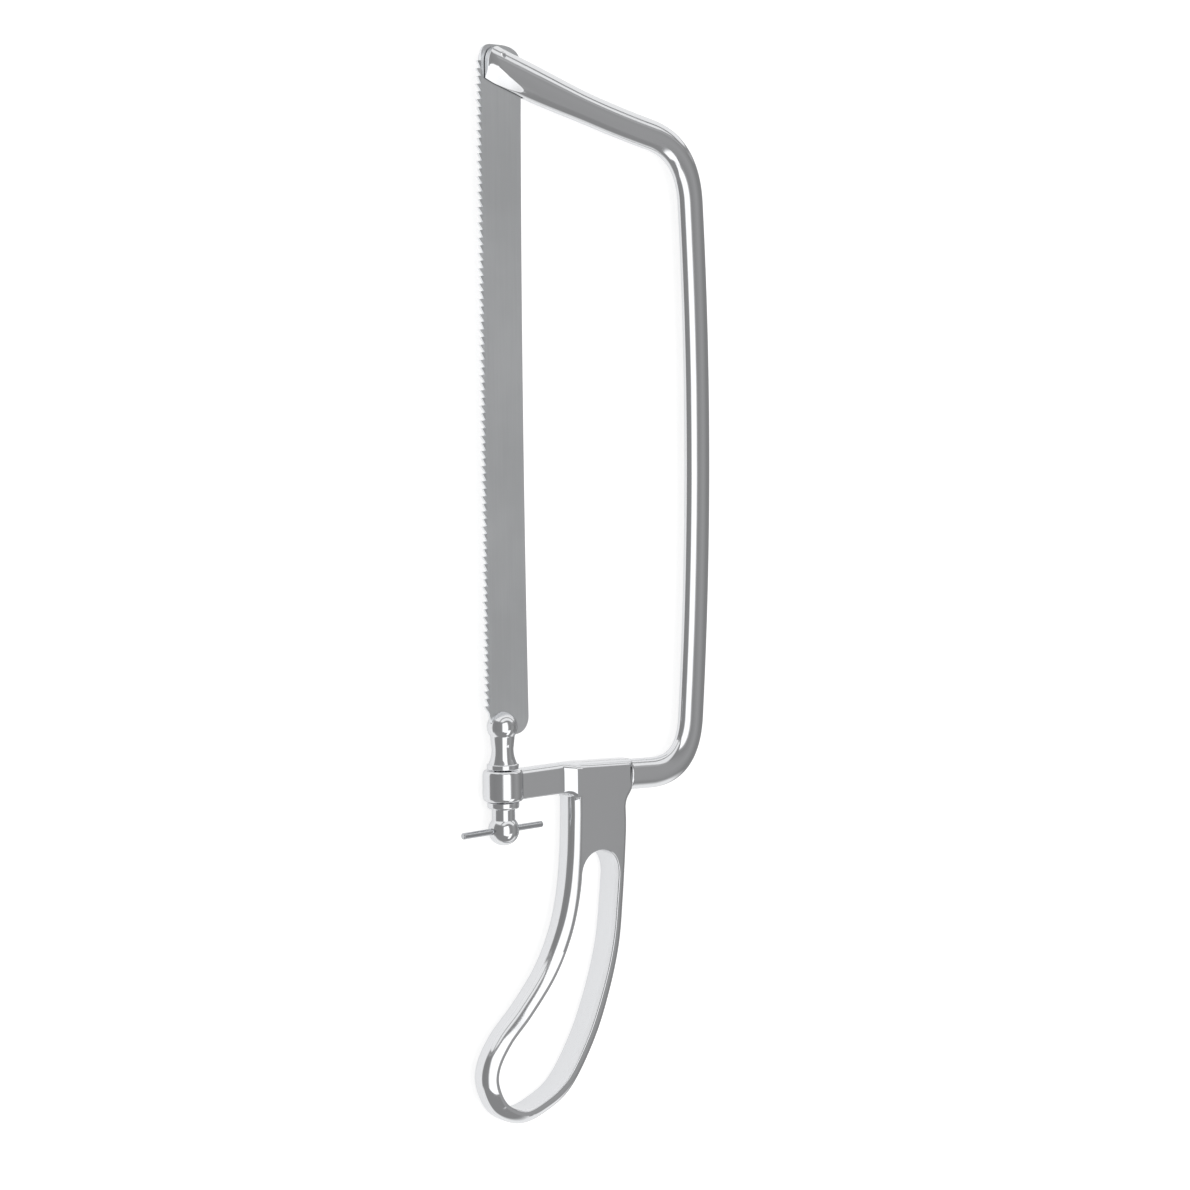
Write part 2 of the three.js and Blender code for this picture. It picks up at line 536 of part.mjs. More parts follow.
// Heel arm: a flat oval bar. Its sides rise up a ramp to the block's, and it is hollowed out
// underneath where it runs into the neck.
function heelArm() {
  const rampStart = NECK_LEFT + RAMP_END - RAMP_LENGTH;
  const rampSteps = 2 * EDGE_SEGMENTS;
  const quarter = (k) => (Math.PI / 2) * (k / rampSteps);
  const ramp = Array.from({ length: rampSteps + 1 }, (_, k) => Math.sin(quarter(k)));
  const hollow = (share) => 1 - Math.sqrt(Math.max(0, 1 - share * share));
  const section = (x, share) => {
    const low = -HEEL_ARM_BOTTOM - COVE_DROP * hollow(share);
    const fall = (BLOCK_FALL * Math.max(0, x - NECK_LEFT)) / (blockEnd - NECK_LEFT);
    const top = HEEL_ARM_TOP - SIDE_SINK - fall;
    const middle = point(x, (top + low) / 2);
    const deepest = HANDLE_DEPTH / 2 - SIDE_SINK;
    const halfDepth = THREE.MathUtils.lerp(HEEL_ARM_DEPTH / 2, deepest, share);
    const power = THREE.MathUtils.lerp(ARM_POWER, ROOT_POWER, share);
    return barRing(middle, point(0, 1), (top - low) / 2, halfDepth, power);
  };
  return loft([
    section(BARREL_RADIUS / 2, 0),
    ...ramp.map((share) => section(rampStart + RAMP_LENGTH * share, share)),
    section(armRootEnd, 1),
  ]);
}

// Finishes
const POLISHED_STEEL = { color: 0xc6c8ca, roughness: 0.12, metalness: 1 };
const GROUND_STEEL = { color: 0x9c9ea1, roughness: 0.34, metalness: 1 };

const saw = new THREE.Group();

function place(name, geometry, finish) {
  const mesh = new THREE.Mesh(geometry, new THREE.MeshStandardMaterial(finish));
  mesh.name = name;
  saw.add(mesh);
  return mesh;
}

place("bow_frame", makeBow(), POLISHED_STEEL);
place("handle_casting", makeHandle(), POLISHED_STEEL);
place("tension_barrel", makeBarrel(), POLISHED_STEEL);
place("toe_pin", crossPin(BLADE_OFFSET, toePinY, BLADE_PIN_RADIUS, toePinLength), POLISHED_STEEL);
place("saw_blade", makeBlade(), GROUND_STEEL);
place("blade_holder", makeHolder(), POLISHED_STEEL);
place("heel_pin", crossPin(0, headCentre, BLADE_PIN_RADIUS, heelPinLength), POLISHED_STEEL);
place("tension_nut", makeNut(), POLISHED_STEEL);
place("tommy_bar", tommyRod(TOMMY_RADIUS, TOMMY_LENGTH), POLISHED_STEEL).position.x = TOMMY_SHIFT;

// The finished saw lies on the surface Z = 0, centred over the origin.
const extent = new THREE.Box3().setFromObject(saw, true);
const middle = extent.getCenter(new THREE.Vector3());
saw.position.set(-middle.x, -middle.y, -extent.min.z);

const root = new THREE.Group();
root.add(saw);
export default root;
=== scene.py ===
# %% [markdown]
# A butcher saw in polished steel.
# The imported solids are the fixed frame: they say where every piece is and what it moves with. Here each
# piece is modelled again at a finer grain, with the eased edges, turned curves and finishes that the
# frame's plain facets leave out, and is laid exactly over its solid.

import math

import bmesh
import bpy
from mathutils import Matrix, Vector
from mathutils.geometry import tessellate_polygon


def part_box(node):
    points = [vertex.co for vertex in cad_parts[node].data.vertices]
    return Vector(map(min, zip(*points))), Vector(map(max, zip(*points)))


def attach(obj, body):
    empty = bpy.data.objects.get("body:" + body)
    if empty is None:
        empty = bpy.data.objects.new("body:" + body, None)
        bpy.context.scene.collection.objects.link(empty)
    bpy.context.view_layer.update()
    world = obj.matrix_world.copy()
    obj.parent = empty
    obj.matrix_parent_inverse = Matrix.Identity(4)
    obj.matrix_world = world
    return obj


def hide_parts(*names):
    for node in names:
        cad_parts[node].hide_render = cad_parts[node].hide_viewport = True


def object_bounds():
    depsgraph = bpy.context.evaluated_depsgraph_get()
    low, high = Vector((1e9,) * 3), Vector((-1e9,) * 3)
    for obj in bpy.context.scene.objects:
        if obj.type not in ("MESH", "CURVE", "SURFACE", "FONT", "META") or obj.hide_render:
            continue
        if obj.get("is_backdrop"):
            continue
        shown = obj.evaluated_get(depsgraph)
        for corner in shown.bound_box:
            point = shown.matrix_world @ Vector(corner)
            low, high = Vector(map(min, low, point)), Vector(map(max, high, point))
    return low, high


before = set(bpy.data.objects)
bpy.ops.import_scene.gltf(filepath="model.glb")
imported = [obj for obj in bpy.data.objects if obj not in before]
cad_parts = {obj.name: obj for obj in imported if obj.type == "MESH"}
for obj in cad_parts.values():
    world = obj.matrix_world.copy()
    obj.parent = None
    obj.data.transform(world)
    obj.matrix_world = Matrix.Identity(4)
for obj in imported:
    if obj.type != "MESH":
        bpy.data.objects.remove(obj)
cad_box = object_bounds()
print("solids:", sorted(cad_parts))

# %% [markdown]
# Every size below is a plain millimetre, measured from the middle of the tension screw, level with the heel
# arm. X goes from the teeth to the spine, Y along the blade to the toe, Z square to the flat side. Working
# from one spot keeps the numbers short, and one small function turns them into the frame's metres.

# %% Millimetres from the screw
MM = 0.001
BARREL_RISE = 0.6  # the barrel's middle above the screw's, mm
barrel_low, barrel_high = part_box("tension_barrel")
SCREW_MIDDLE = (barrel_low + barrel_high) / 2 - MM * Vector((0.0, BARREL_RISE, 0.0))


def spot(x, y, z=0.0):
    """A place in millimetres from the screw's middle, in the frame's metres."""
    return SCREW_MIDDLE + MM * Vector((x, y, z))


print("screw's middle, mm:", [round(value / MM, 2) for value in SCREW_MIDDLE])

# %% [markdown]
# The camera comes first, because everything is compared with the photograph through it. The saw lies on a
# pale table and the camera looks down on it from the side of the teeth. Its turn, tip and roll were found
# by fitting the blade's long edges, the barrel and the loop's end to the picture. A camera can be aimed with
# a tracking constraint, but three plain axes leave nothing to guess, so it is placed by its own matrix.

# %% Camera
PICTURE = 1190.0  # width and height of the picture, in pixels
FOCAL = 2682.0  # focal length, in the same pixels
SCREW_AT = (503.0, 787.0)  # pixel of the screw's middle
DISTANCE = 900.0  # camera to the screw along the view, mm
TURN = math.radians(43.0)  # the saw is turned this far about its own length
TIP = math.radians(4.5)
ROLL = math.radians(0.6)
NEAREST = 0.01  # nothing closer to the camera is drawn, m


def new_object(name, data):
    made = bpy.data.objects.new(name, data)
    bpy.context.scene.collection.objects.link(made)
    return made


def aim_camera():
    level = Vector((math.cos(TURN), 0.0, math.sin(TURN)))
    raised = Vector((
        math.sin(TURN) * math.sin(TIP),
        math.cos(TIP),
        -math.cos(TURN) * math.sin(TIP),
    ))
    ahead = level.cross(raised) * -1.0
    right = math.cos(ROLL) * level - math.sin(ROLL) * raised
    up = math.sin(ROLL) * level + math.cos(ROLL) * raised
    across = (SCREW_AT[0] - PICTURE / 2) / FOCAL * DISTANCE
    above = (PICTURE / 2 - SCREW_AT[1]) / FOCAL * DISTANCE
    place = SCREW_MIDDLE - MM * (across * right + above * up + DISTANCE * ahead)
    lens = bpy.data.cameras.new("camera")
    lens.sensor_fit = "HORIZONTAL"
    lens.angle = 2 * math.atan(PICTURE / 2 / FOCAL)
    lens.clip_start = NEAREST
    camera = new_object("camera", lens)
    for axis, direction in enumerate((right, up, -ahead)):
        for row in range(3):
            camera.matrix_world[row][axis] = direction[row]
    camera.location = place
    bpy.context.scene.camera = camera
    return camera


camera = aim_camera()
print("camera at, m:", [round(value, 3) for value in camera.location])

# %% [markdown]
# A piece is a mesh made from a list of places and a list of faces. Its faces are turned outwards once, so
# later cuts know inside from outside. Cuts and joins are done with Blender's exact boolean, the way a maker
# saws a slot or brazes an arm on, and are applied at once so that the mesh that is seen is the mesh itself.

# %% Making and cutting a piece
def make_piece(name, places, faces):
    mesh = bpy.data.meshes.new(name)
    mesh.from_pydata([spot(*place) for place in places], [], faces)
    work = bmesh.new()
    work.from_mesh(mesh)
    bmesh.ops.recalc_face_normals(work, faces=work.faces)
    work.to_mesh(mesh)
    work.free()
    return new_object(name, mesh)


def work_with(piece, tool, operation):
    """Cut, keep or join the piece with a second closed shape, which is used up."""
    step = piece.modifiers.new(operation.lower(), "BOOLEAN")
    step.operation = operation
    step.solver = "EXACT"
    step.object = tool
    bpy.context.view_layer.update()
    graph = bpy.context.evaluated_depsgraph_get()
    worked = bpy.data.meshes.new_from_object(piece.evaluated_get(graph))
    piece.modifiers.clear()
    piece.data = worked
    bpy.data.objects.remove(tool)
    return piece


def between(low, high):
    """The faces between two closed rows of equally many places."""
    count = len(low)
    return [[low[k], low[(k + 1) % count], high[(k + 1) % count], high[k]] for k in range(count)]


def skin_rings(name, rings):
    """A closed bar through rings of equally many places, with a flat end at each side."""
    count = len(rings[0])
    rows = [range(first, first + count) for first in range(0, len(rings) * count, count)]
    faces = [list(rows[0]), list(rows[-1])]
    for low, high in zip(rows, rows[1:]):
        faces += between(low, high)
    return make_piece(name, [place for ring in rings for place in ring], faces)


def thick_outline(name, outline, half):
    """A straight-sided block of an outline, equally deep on both sides of the saw's middle."""
    return skin_rings(name, [[(x, y, z) for x, y in outline] for z in (-half, half)])


print("helpers: make_piece, work_with, between, skin_rings, thick_outline")

# %% [markdown]
# Six of the nine pieces come off a lathe, so they are made as a lathe makes them: a profile swept round an
# axis. Real turned work has no knife-sharp corners, because the polishing wheel eases them, so a profile's
# corners carry the length of their easing. Flowing curves, such as the holder's waist, go smoothly through
# a few chosen points.

# %% Curves
def shares(steps):
    """Even steps from 0 to 1."""
    return [step / steps for step in range(steps + 1)]


def aimed(start, corner, stop, t):
    """The place at share t of a curve that leaves start and reaches stop aiming at the corner."""
    return (1 - t) ** 2 * start + 2 * t * (1 - t) * corner + t * t * stop


def bent(start, corner, stop, steps=16):
    """The points of such a curve."""
    return [tuple(aimed(a, b, c, t) for a, b, c in zip(start, corner, stop)) for t in shares(steps)]


def arc(x, y, radius, start, stop, steps=16):
    """Part of a circle, from one angle to another in degrees."""
    angles = [math.radians(start + (stop - start) * t) for t in shares(steps)]
    return [(x + radius * math.cos(angle), y + radius * math.sin(angle)) for angle in angles]


def eased(corners, steps=6):
    """Corners are (across, along, easing); an easing of 0 keeps the corner sharp."""
    points = []
    for k, (across, along, easing) in enumerate(corners):
        here = Vector((across, along))
        if not easing:
            points.append(here)
            continue
        before = Vector(corners[k - 1][:2])
        after = Vector(corners[(k + 1) % len(corners)][:2])
        start = here + easing * (before - here).normalized()
        stop = here + easing * (after - here).normalized()
        points += [aimed(start, here, stop, t) for t in shares(steps)]
    return points


def flowing(points, steps):
    """A smooth run through the points, which are all on it."""
    last = len(points) - 1
    run = []
    for k in range(last):
        before, here = points[max(k - 1, 0)], points[k]
        ahead, after = points[k + 1], points[min(k + 2, last)]
        bend = 2 * before - 5 * here + 4 * ahead - after
        twist = 3 * here - 3 * ahead + after - before
        for t in shares(steps)[:-1]:
            run.append(0.5 * (2 * here + (ahead - before) * t + bend * t * t + twist * t ** 3))
    return run + [points[last]]


def round_angles(sides):
    return [2 * math.pi * k / sides for k in range(sides)]


print("points of a quarter circle:", len(arc(0.0, 0.0, 1.0, 0, 90)))

# %% The lathe
LATHE_SIDES = 96
ROD_SIDES = 48  # enough for a thin rod or a hole
ON_AXIS = 1e-6  # a smaller radius is one place on the axis


def turn_on_lathe(name, profile, sides=LATHE_SIDES, hollow=False, lay=lambda a, b, c: (a, b, c)):
    """Sweep (radius, along) round the screw's axis; hollow joins the last point to the first."""
    places = []
    rows = []
    for radius, along in profile:
        first = len(places)
        if radius < ON_AXIS:
            rows.append([first] * sides)
            places.append(lay(0.0, along, 0.0))
            continue
        rows.append(list(range(first, first + sides)))
        for angle in round_angles(sides):
            places.append(lay(radius * math.cos(angle), along, radius * math.sin(angle)))
    if hollow:
        rows.append(rows[0])
    faces = []
    for low, high in zip(rows, rows[1:]):
        corners = [list(dict.fromkeys(face)) for face in between(low, high)]
        faces += [face for face in corners if len(face) > 2]
    return make_piece(name, places, faces)


def mirrored(upper):
    """A whole profile from its upper half."""
    return [(radius, -along) for radius, along in upper] + upper[::-1]


def plain_rod(radius, half):
    """The profile of a plain round bar or drill."""
    return mirrored([(0.0, half), (radius, half)])


print("lathe ready, sides to a round:", LATHE_SIDES)

# %% [markdown]
# A finished piece is smooth where the polishing wheel ran over it and has a crease where two faces really
# meet. Marking edges sharper than a set angle does that without splitting the mesh, and weighted normals
# keep the large flats flat in the reflections, which a mirror finish shows at once. The piece is then tied
# to the body it moves with and takes the place of its plain solid.

# %% Finishing a piece
CREASE = 35.0  # sharper edges stay crisp, unless a piece says otherwise, degrees
FACE_WEIGHT = 80  # how far a large face decides the shading beside it


def finish_piece(piece, body, node, crease=CREASE):
    piece.data.shade_smooth()
    piece.data.set_sharp_from_angle(angle=math.radians(crease))
    normals = piece.modifiers.new("flat_faces_stay_flat", "WEIGHTED_NORMAL")
    normals.keep_sharp = True
    normals.weight = FACE_WEIGHT
    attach(piece, body)
    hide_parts(node)
    print(piece.name, "rides on", body, "faces", len(piece.data.polygons))


print("edges stay crisp over, degrees:", CREASE)

# %% [markdown]
# The barrel is the sleeve that the screw runs through, brazed to the end of the heel arm. On the real saw it
# is turned from bar and its ends draw in with a soft shoulder, which shows as a thin bright ring at each end.
# A plain cylinder with a bevel would lose that shoulder, so it has its own profile.

# %% Tension barrel
BARREL_RADIUS = 6.9
BARREL_HALF = 5.2
BARREL_SHOULDER = 1.8  # length of each drawn-in end
BARREL_DRAW = 0.9  # how far the end draws in
BORE = 2.8
BORE_MOUTH = 0.3  # easing at the bore's ends
SHOULDER_STEPS = 10


def barrel_profile():
    upper = [(BORE, BARREL_HALF - BORE_MOUTH), (BORE + BORE_MOUTH, BARREL_HALF)]
    for t in shares(SHOULDER_STEPS):
        angle = math.pi / 2 * t
        radius = BARREL_RADIUS - BARREL_DRAW * (1 - math.sin(angle))
        upper.append((radius, BARREL_HALF - BARREL_SHOULDER * (1 - math.cos(angle))))
    return [(radius, along + BARREL_RISE) for radius, along in mirrored(upper)]


barrel_sleeve = turn_on_lathe("barrel_sleeve", barrel_profile(), hollow=True)
finish_piece(barrel_sleeve, "frame", "tension_barrel", crease=40.0)

# %% [markdown]
# The holder grips the blade's heel. It is one turned piece: a domed head with a slot for the blade, a waist,
# a flange that bears on the barrel, and below it the screw. The screw only shows when the blade is slack,
# but it is what the nut pulls on, so its thread is cut as a real helix of 0.8 mm a turn. A bump map would
# look flat where the thread stands against the light.

# %% Blade holder
FLANGE_RADIUS = 5.4
FLANGE_FOOT = 6.1
FLANGE_TOP = 7.9
FLANGE_LAND = 0.6
FLANGE_EASING = (0.35, 0.45)  # below and above
WAIST_RADIUS = 3.7
WAIST_FLARE = 0.3
WAIST_AT = 12.6
HEAD_RADIUS = 5.2
HEAD_AT = 20.4
HEAD_SEAM = 17.3  # where the ball of the head meets the waist in a fine crease
SCREW_RADIUS = 2.5
SCREW_END = -12.1
SWELL_STEPS = 12
DOME_STEPS = 28


def holder_profile():
    seam = math.asin((HEAD_SEAM - HEAD_AT) / HEAD_RADIUS)
    seam_radius = HEAD_RADIUS * math.cos(seam)
    swell = flowing([
        Vector((FLANGE_RADIUS - FLANGE_LAND, FLANGE_TOP)),
        Vector((WAIST_RADIUS + WAIST_FLARE, (FLANGE_TOP + WAIST_AT) / 2)),
        Vector((WAIST_RADIUS, WAIST_AT)),
        Vector(((WAIST_RADIUS + seam_radius) / 2, (WAIST_AT + HEAD_SEAM) / 2)),
        Vector((seam_radius, HEAD_SEAM)),
    ], SWELL_STEPS)
    flange = eased([
        (SCREW_RADIUS, FLANGE_FOOT, 0),
        (FLANGE_RADIUS, FLANGE_FOOT, FLANGE_EASING[0]),
        (FLANGE_RADIUS, FLANGE_TOP, FLANGE_EASING[1]),
        (FLANGE_RADIUS - FLANGE_LAND, FLANGE_TOP, 0),
    ])
    head = arc(0.0, HEAD_AT, HEAD_RADIUS, math.degrees(seam), 90, DOME_STEPS)
    return [(0.0, FLANGE_FOOT), *flange, *swell[1:], *head[1:-1], (0.0, HEAD_AT + HEAD_RADIUS)]


turned_holder = turn_on_lathe("turned_holder", holder_profile())
print("holder turned, faces:", len(turned_holder.data.polygons))

# %% Slot and pin hole
SLOT_WIDTH = 1.0
SLOT_CLEARANCE = 0.1  # below and beside the blade's heel
SLOT_FAR = (9.0, 40.0)  # the slot is sawn out to here, past the head
HEEL_START = (-5.8, 25.2)  # the blade's heel falls away from the teeth to its foot
HEEL_BEND = (-4.6, 18.6)
HEEL_FOOT = (0.5, 17.4)
PIN_RADIUS = 1.0
PIN_FIT = 0.05  # a pressed pin leaves only a hairline
DRILL_HALF = 9.0


def across_saw(x, y):
    """How to lay a lathe's axis across the saw, from one flat side to the other."""
    return lambda a, b, c: (x + a, y + c, b)


def drill_for_pin(piece, x, y):
    profile = plain_rod(PIN_RADIUS + PIN_FIT, DRILL_HALF)
    drill = turn_on_lathe("drill", profile, ROD_SIDES, lay=across_saw(x, y))
    work_with(piece, drill, "DIFFERENCE")


heel_curve = bent(HEEL_START, HEEL_BEND, HEEL_FOOT)
slot_edges = [(x - SLOT_CLEARANCE, y - SLOT_CLEARANCE) for x, y in heel_curve]
slot_edges += [(SLOT_FAR[0], slot_edges[-1][1]), SLOT_FAR, (slot_edges[0][0], SLOT_FAR[1])]
work_with(turned_holder, thick_outline("slot", slot_edges, SLOT_WIDTH / 2), "DIFFERENCE")
drill_for_pin(turned_holder, 0.0, HEAD_AT)
print("holder head cut for the blade, slot mm:", SLOT_WIDTH)

# %% Screw thread
THREAD_PITCH = 0.8
THREAD_DEPTH = 0.43
THREAD_SIDES = 48
THREAD_ROWS = 6  # rows to a turn
THREAD_TAPER = 1.2  # the thread runs out over this length at the screw's end
THREAD_POINT = 0.55  # share of its radius that the screw keeps at its end
RIDGE_FLAT = 1.25  # over 1, the ridge's top is flat
SCREW_ROOT = 0.4  # the screw reaches this far into the flange


def screw_rings():
    """Rings whose radius follows a helix, so that one ridge winds down the shank."""
    length = FLANGE_FOOT + SCREW_ROOT - SCREW_END
    rings = []
    for share in shares(int(length / THREAD_PITCH * THREAD_ROWS)):
        along = SCREW_END + length * share
        lead = min(1.0, THREAD_POINT + (1 - THREAD_POINT) * (along - SCREW_END) / THREAD_TAPER)
        ring = []
        for k, angle in enumerate(round_angles(THREAD_SIDES)):
            turn = (along / THREAD_PITCH + k / THREAD_SIDES) % 1.0
            ridge = min(1.0, RIDGE_FLAT * (1 - abs(2 * turn - 1)))
            radius = lead * (SCREW_RADIUS - THREAD_DEPTH * (1 - ridge))
            ring.append((radius * math.cos(angle), along, radius * math.sin(angle)))
        rings.append(ring)
    return rings


work_with(turned_holder, skin_rings("screw", screw_rings()), "UNION")
finish_piece(turned_holder, "holder", "blade_holder", crease=38.0)

# %% [markdown]
# Both ends of the blade are held by a plain pin. The heel pin is pressed through the holder's head and
# dressed flush with the dome, so its ends follow the dome. The toe pin stands a little out of the forked
# toe and has a rounded end. Both are short turned rods laid across the saw.

# %% Blade pins
TOE_PIN_X = 2.0
TOE_PIN_Y = 242.6
TOE_PIN_HALF = 3.01
TOE_PIN_CROWN = 1.9  # radius of its rounded ends
HEEL_PIN_SINK = 0.03  # the heel pin's ends lie this far under the dome
PIN_STEPS = 6


def pin(name, x, y, half, crown):
    """A rod across the saw whose two ends are rounded to the crown's radius."""
    cap = []
    for t in shares(PIN_STEPS):
        radius = PIN_RADIUS * t
        sink = crown - math.sqrt(crown * crown - radius * radius)
        cap.append((radius, half - sink))
    return turn_on_lathe(name, mirrored(cap), ROD_SIDES, lay=across_saw(x, y))


heel_cross_pin = pin("heel_cross_pin", 0.0, HEAD_AT, HEAD_RADIUS - HEEL_PIN_SINK, HEAD_RADIUS)
finish_piece(heel_cross_pin, "holder", "heel_pin")
toe_cross_pin = pin("toe_cross_pin", TOE_PIN_X, TOE_PIN_Y, TOE_PIN_HALF, TOE_PIN_CROWN)
finish_piece(toe_cross_pin, "frame", "toe_pin")

# %% [markdown]
# The nut that tightens the blade is a collar, a short neck and a ball in one turned piece, with a tommy bar
# through the ball so that it can be turned without a spanner. The ball meets its neck in a crisp groove.
# The bar is a plain rod with rounded ends.

# %% Ball nut and tommy bar
COLLAR_RADIUS = 5.4
COLLAR_TOP = -4.9
COLLAR_FOOT = -7.2
COLLAR_EASING = (0.3, 0.9, 0.5, 0.2)  # at the neck, below, above and at the bore
NECK_RADIUS = 3.95
NECK_LENGTH = 1.0
BALL_RADIUS = 5.25
BALL_AT = -14.548
SCREW_HOLE_END = -12.4
BALL_STEPS = 32
TOMMY_RADIUS = 1.1
TOMMY_HALF = 17.5
TOMMY_SHIFT = -0.4
TOMMY_EASING = 0.4
TOMMY_FIT = 0.04


def nut_profile():
    seam = math.asin(NECK_RADIUS / BALL_RADIUS)
    ball = arc(0.0, BALL_AT, BALL_RADIUS, -90, 90 - math.degrees(seam), BALL_STEPS)
    ball[0] = (0.0, BALL_AT - BALL_RADIUS)
    at_neck, below, above, at_bore = COLLAR_EASING
    return ball + eased([
        (NECK_RADIUS, COLLAR_FOOT - NECK_LENGTH, 0),
        (NECK_RADIUS, COLLAR_FOOT, at_neck),
        (COLLAR_RADIUS, COLLAR_FOOT, below),
        (COLLAR_RADIUS, COLLAR_TOP, above),
        (BORE, COLLAR_TOP, at_bore),
        (BORE, SCREW_HOLE_END, 0),
        (0.0, SCREW_HOLE_END, 0),
    ])


def along_x(a, b, c):
    """Lay a lathe's axis across the ball, from the teeth to the spine."""
    return (b, BALL_AT + a, c)


ball_nut = turn_on_lathe("ball_nut", nut_profile())
tommy_hole = plain_rod(TOMMY_RADIUS + TOMMY_FIT, DRILL_HALF)
work_with(ball_nut, turn_on_lathe("tommy_hole", tommy_hole, ROD_SIDES, lay=along_x), "DIFFERENCE")
finish_piece(ball_nut, "nut", "tension_nut", crease=30.0)

rod_left, rod_right = TOMMY_SHIFT - TOMMY_HALF, TOMMY_SHIFT + TOMMY_HALF
rod_profile = eased([
    (0.0, rod_left, 0),
    (TOMMY_RADIUS, rod_left, TOMMY_EASING),
    (TOMMY_RADIUS, rod_right, TOMMY_EASING),
    (0.0, rod_right, 0),
])
tommy_rod = turn_on_lathe("tommy_rod", rod_profile, ROD_SIDES, lay=along_x)
finish_piece(tommy_rod, "nut", "tommy_bar")

# %% [markdown]
# The blade is a thin strip of spring steel, 228.6 by 19 mm, with teeth every 2.5 mm that hook towards the
# toe. They are bent left and right in turn so that the cut is wider than the blade. A toothed edge could be
# drawn as a texture, but its tips catch the light one by one in the picture, so each tooth is a real one,
# folded at its root. A hole takes the heel pin and a hook slot drops over the toe pin.

# %% Blade outline
BLADE_HEEL = 17.4
BLADE_TOE = 246.0
BLADE_TIPS = -7.5
BLADE_BACK = 11.5
BLADE_HALF = 0.45  # half its thickness
BLADE_HOLLOW = 0.8
HEEL_ROUND = 5.5
TOE_NOSE_ROUND = 4.5
TOE_BACK_ROUND = 9.0
TOOTH_PITCH = 2.5
TOOTH_DEPTH = 1.7
TOOTH_SET = 0.25
TOOTH_TIP = 0.93  # share of a pitch at which the tip stands
FIRST_TOOTH = 25.4
TOE_PLAIN = 4.0
HOOK_Y = TOE_PIN_Y - 4.15  # the hook's mouth, below the toe pin
HOOK_GRIP = PIN_RADIUS + 0.15  # half the hook's width
LEAST_STEP = 0.1  # shortest straight piece left between two curves
BACK_STEPS = 48
HOOK_STEPS = 10  # to a quarter turn
TOOTH_COUNT = int((BLADE_TOE - TOE_PLAIN - FIRST_TOOTH) / TOOTH_PITCH)
TOOTH_ROOT = BLADE_TIPS + TOOTH_DEPTH


def blade_edge():
    """The blade's outline without its tooth tips, from the heel along the back to the toe."""
    heel_y = BLADE_HEEL + HEEL_ROUND
    back_round = min(TOE_BACK_ROUND, BLADE_BACK - TOOTH_ROOT - TOE_NOSE_ROUND)
    hollow = (BLADE_BACK - 2 * BLADE_HOLLOW, (BLADE_HEEL + BLADE_TOE) / 2)
    mouth = HOOK_Y + HOOK_GRIP
    edge = list(heel_curve)
    edge += arc(BLADE_BACK - HEEL_ROUND, heel_y, HEEL_ROUND, 270, 360)
    edge += bent((BLADE_BACK, heel_y), hollow, (BLADE_BACK, HOOK_Y - HOOK_GRIP), BACK_STEPS)[1:]
    edge += arc(TOE_PIN_X, HOOK_Y, HOOK_GRIP, -90, -180, HOOK_STEPS)
    edge += arc(TOE_PIN_X, TOE_PIN_Y, HOOK_GRIP, 180, 0, 2 * HOOK_STEPS)
    edge += [(TOE_PIN_X + HOOK_GRIP, mouth), (BLADE_BACK, mouth)]
    corner_y = max(BLADE_TOE - back_round, mouth + LEAST_STEP)
    edge += bent((BLADE_BACK, corner_y), (BLADE_BACK, BLADE_TOE), (BLADE_BACK - back_round, BLADE_TOE))
    last_gullet = FIRST_TOOTH + TOOTH_COUNT * TOOTH_PITCH
    nose_y = max(BLADE_TOE - TOE_NOSE_ROUND, last_gullet + LEAST_STEP)
    nose_x = TOOTH_ROOT + TOE_NOSE_ROUND
    edge += bent((nose_x, BLADE_TOE), (TOOTH_ROOT, BLADE_TOE), (TOOTH_ROOT, nose_y))
    return edge


print("teeth:", TOOTH_COUNT)

# %% Blade
HOLE_SIDES = 32


def make_blade():
    edge = blade_edge()
    gullets = [(TOOTH_ROOT, FIRST_TOOTH + k * TOOTH_PITCH) for k in range(TOOTH_COUNT, -1, -1)]
    outer = edge + gullets
    pin_hole = arc(0.0, HEAD_AT, PIN_RADIUS + PIN_FIT, 360, 0, HOLE_SIDES)[:-1]
    flat = outer + pin_hole
    count = len(flat)
    places = [(x, y, z) for z in (BLADE_HALF, -BLADE_HALF) for x, y in flat]
    loops = [[Vector((x, y, 0.0)) for x, y in outer], [Vector((x, y, 0.0)) for x, y in pin_hole]]
    faces = []
    for triangle in tessellate_polygon(loops):
        faces.append(list(triangle))
        faces.append([count + k for k in triangle])

    def wall(k, following):
        faces.append([k, following, count + following, count + k])

    for k in range(len(edge) - 1):
        wall(k, k + 1)
    wall(len(edge) - 1, len(edge))
    wall(len(outer) - 1, 0)
    for k in range(len(pin_hole)):
        wall(len(outer) + k, len(outer) + (k + 1) % len(pin_hole))
    for k in range(TOOTH_COUNT):
        upper = len(edge) + k
        tooth = TOOTH_COUNT - 1 - k
        lean = TOOTH_SET if tooth % 2 else -TOOTH_SET
        tip_y = FIRST_TOOTH + (tooth + TOOTH_TIP) * TOOTH_PITCH
        tip = len(places)
        places.append((BLADE_TIPS, tip_y, BLADE_HALF + lean))
        places.append((BLADE_TIPS, tip_y, lean - BLADE_HALF))
        faces.append([upper, tip, upper + 1])
        faces.append([count + upper, tip + 1, count + upper + 1])
        faces.append([upper, tip, tip + 1, count + upper])
        faces.append([upper + 1, tip, tip + 1, count + upper + 1])
    return make_piece("ground_blade", places, faces)


ground_blade = make_blade()
finish_piece(ground_blade, "holder", "saw_blade", crease=5.0)

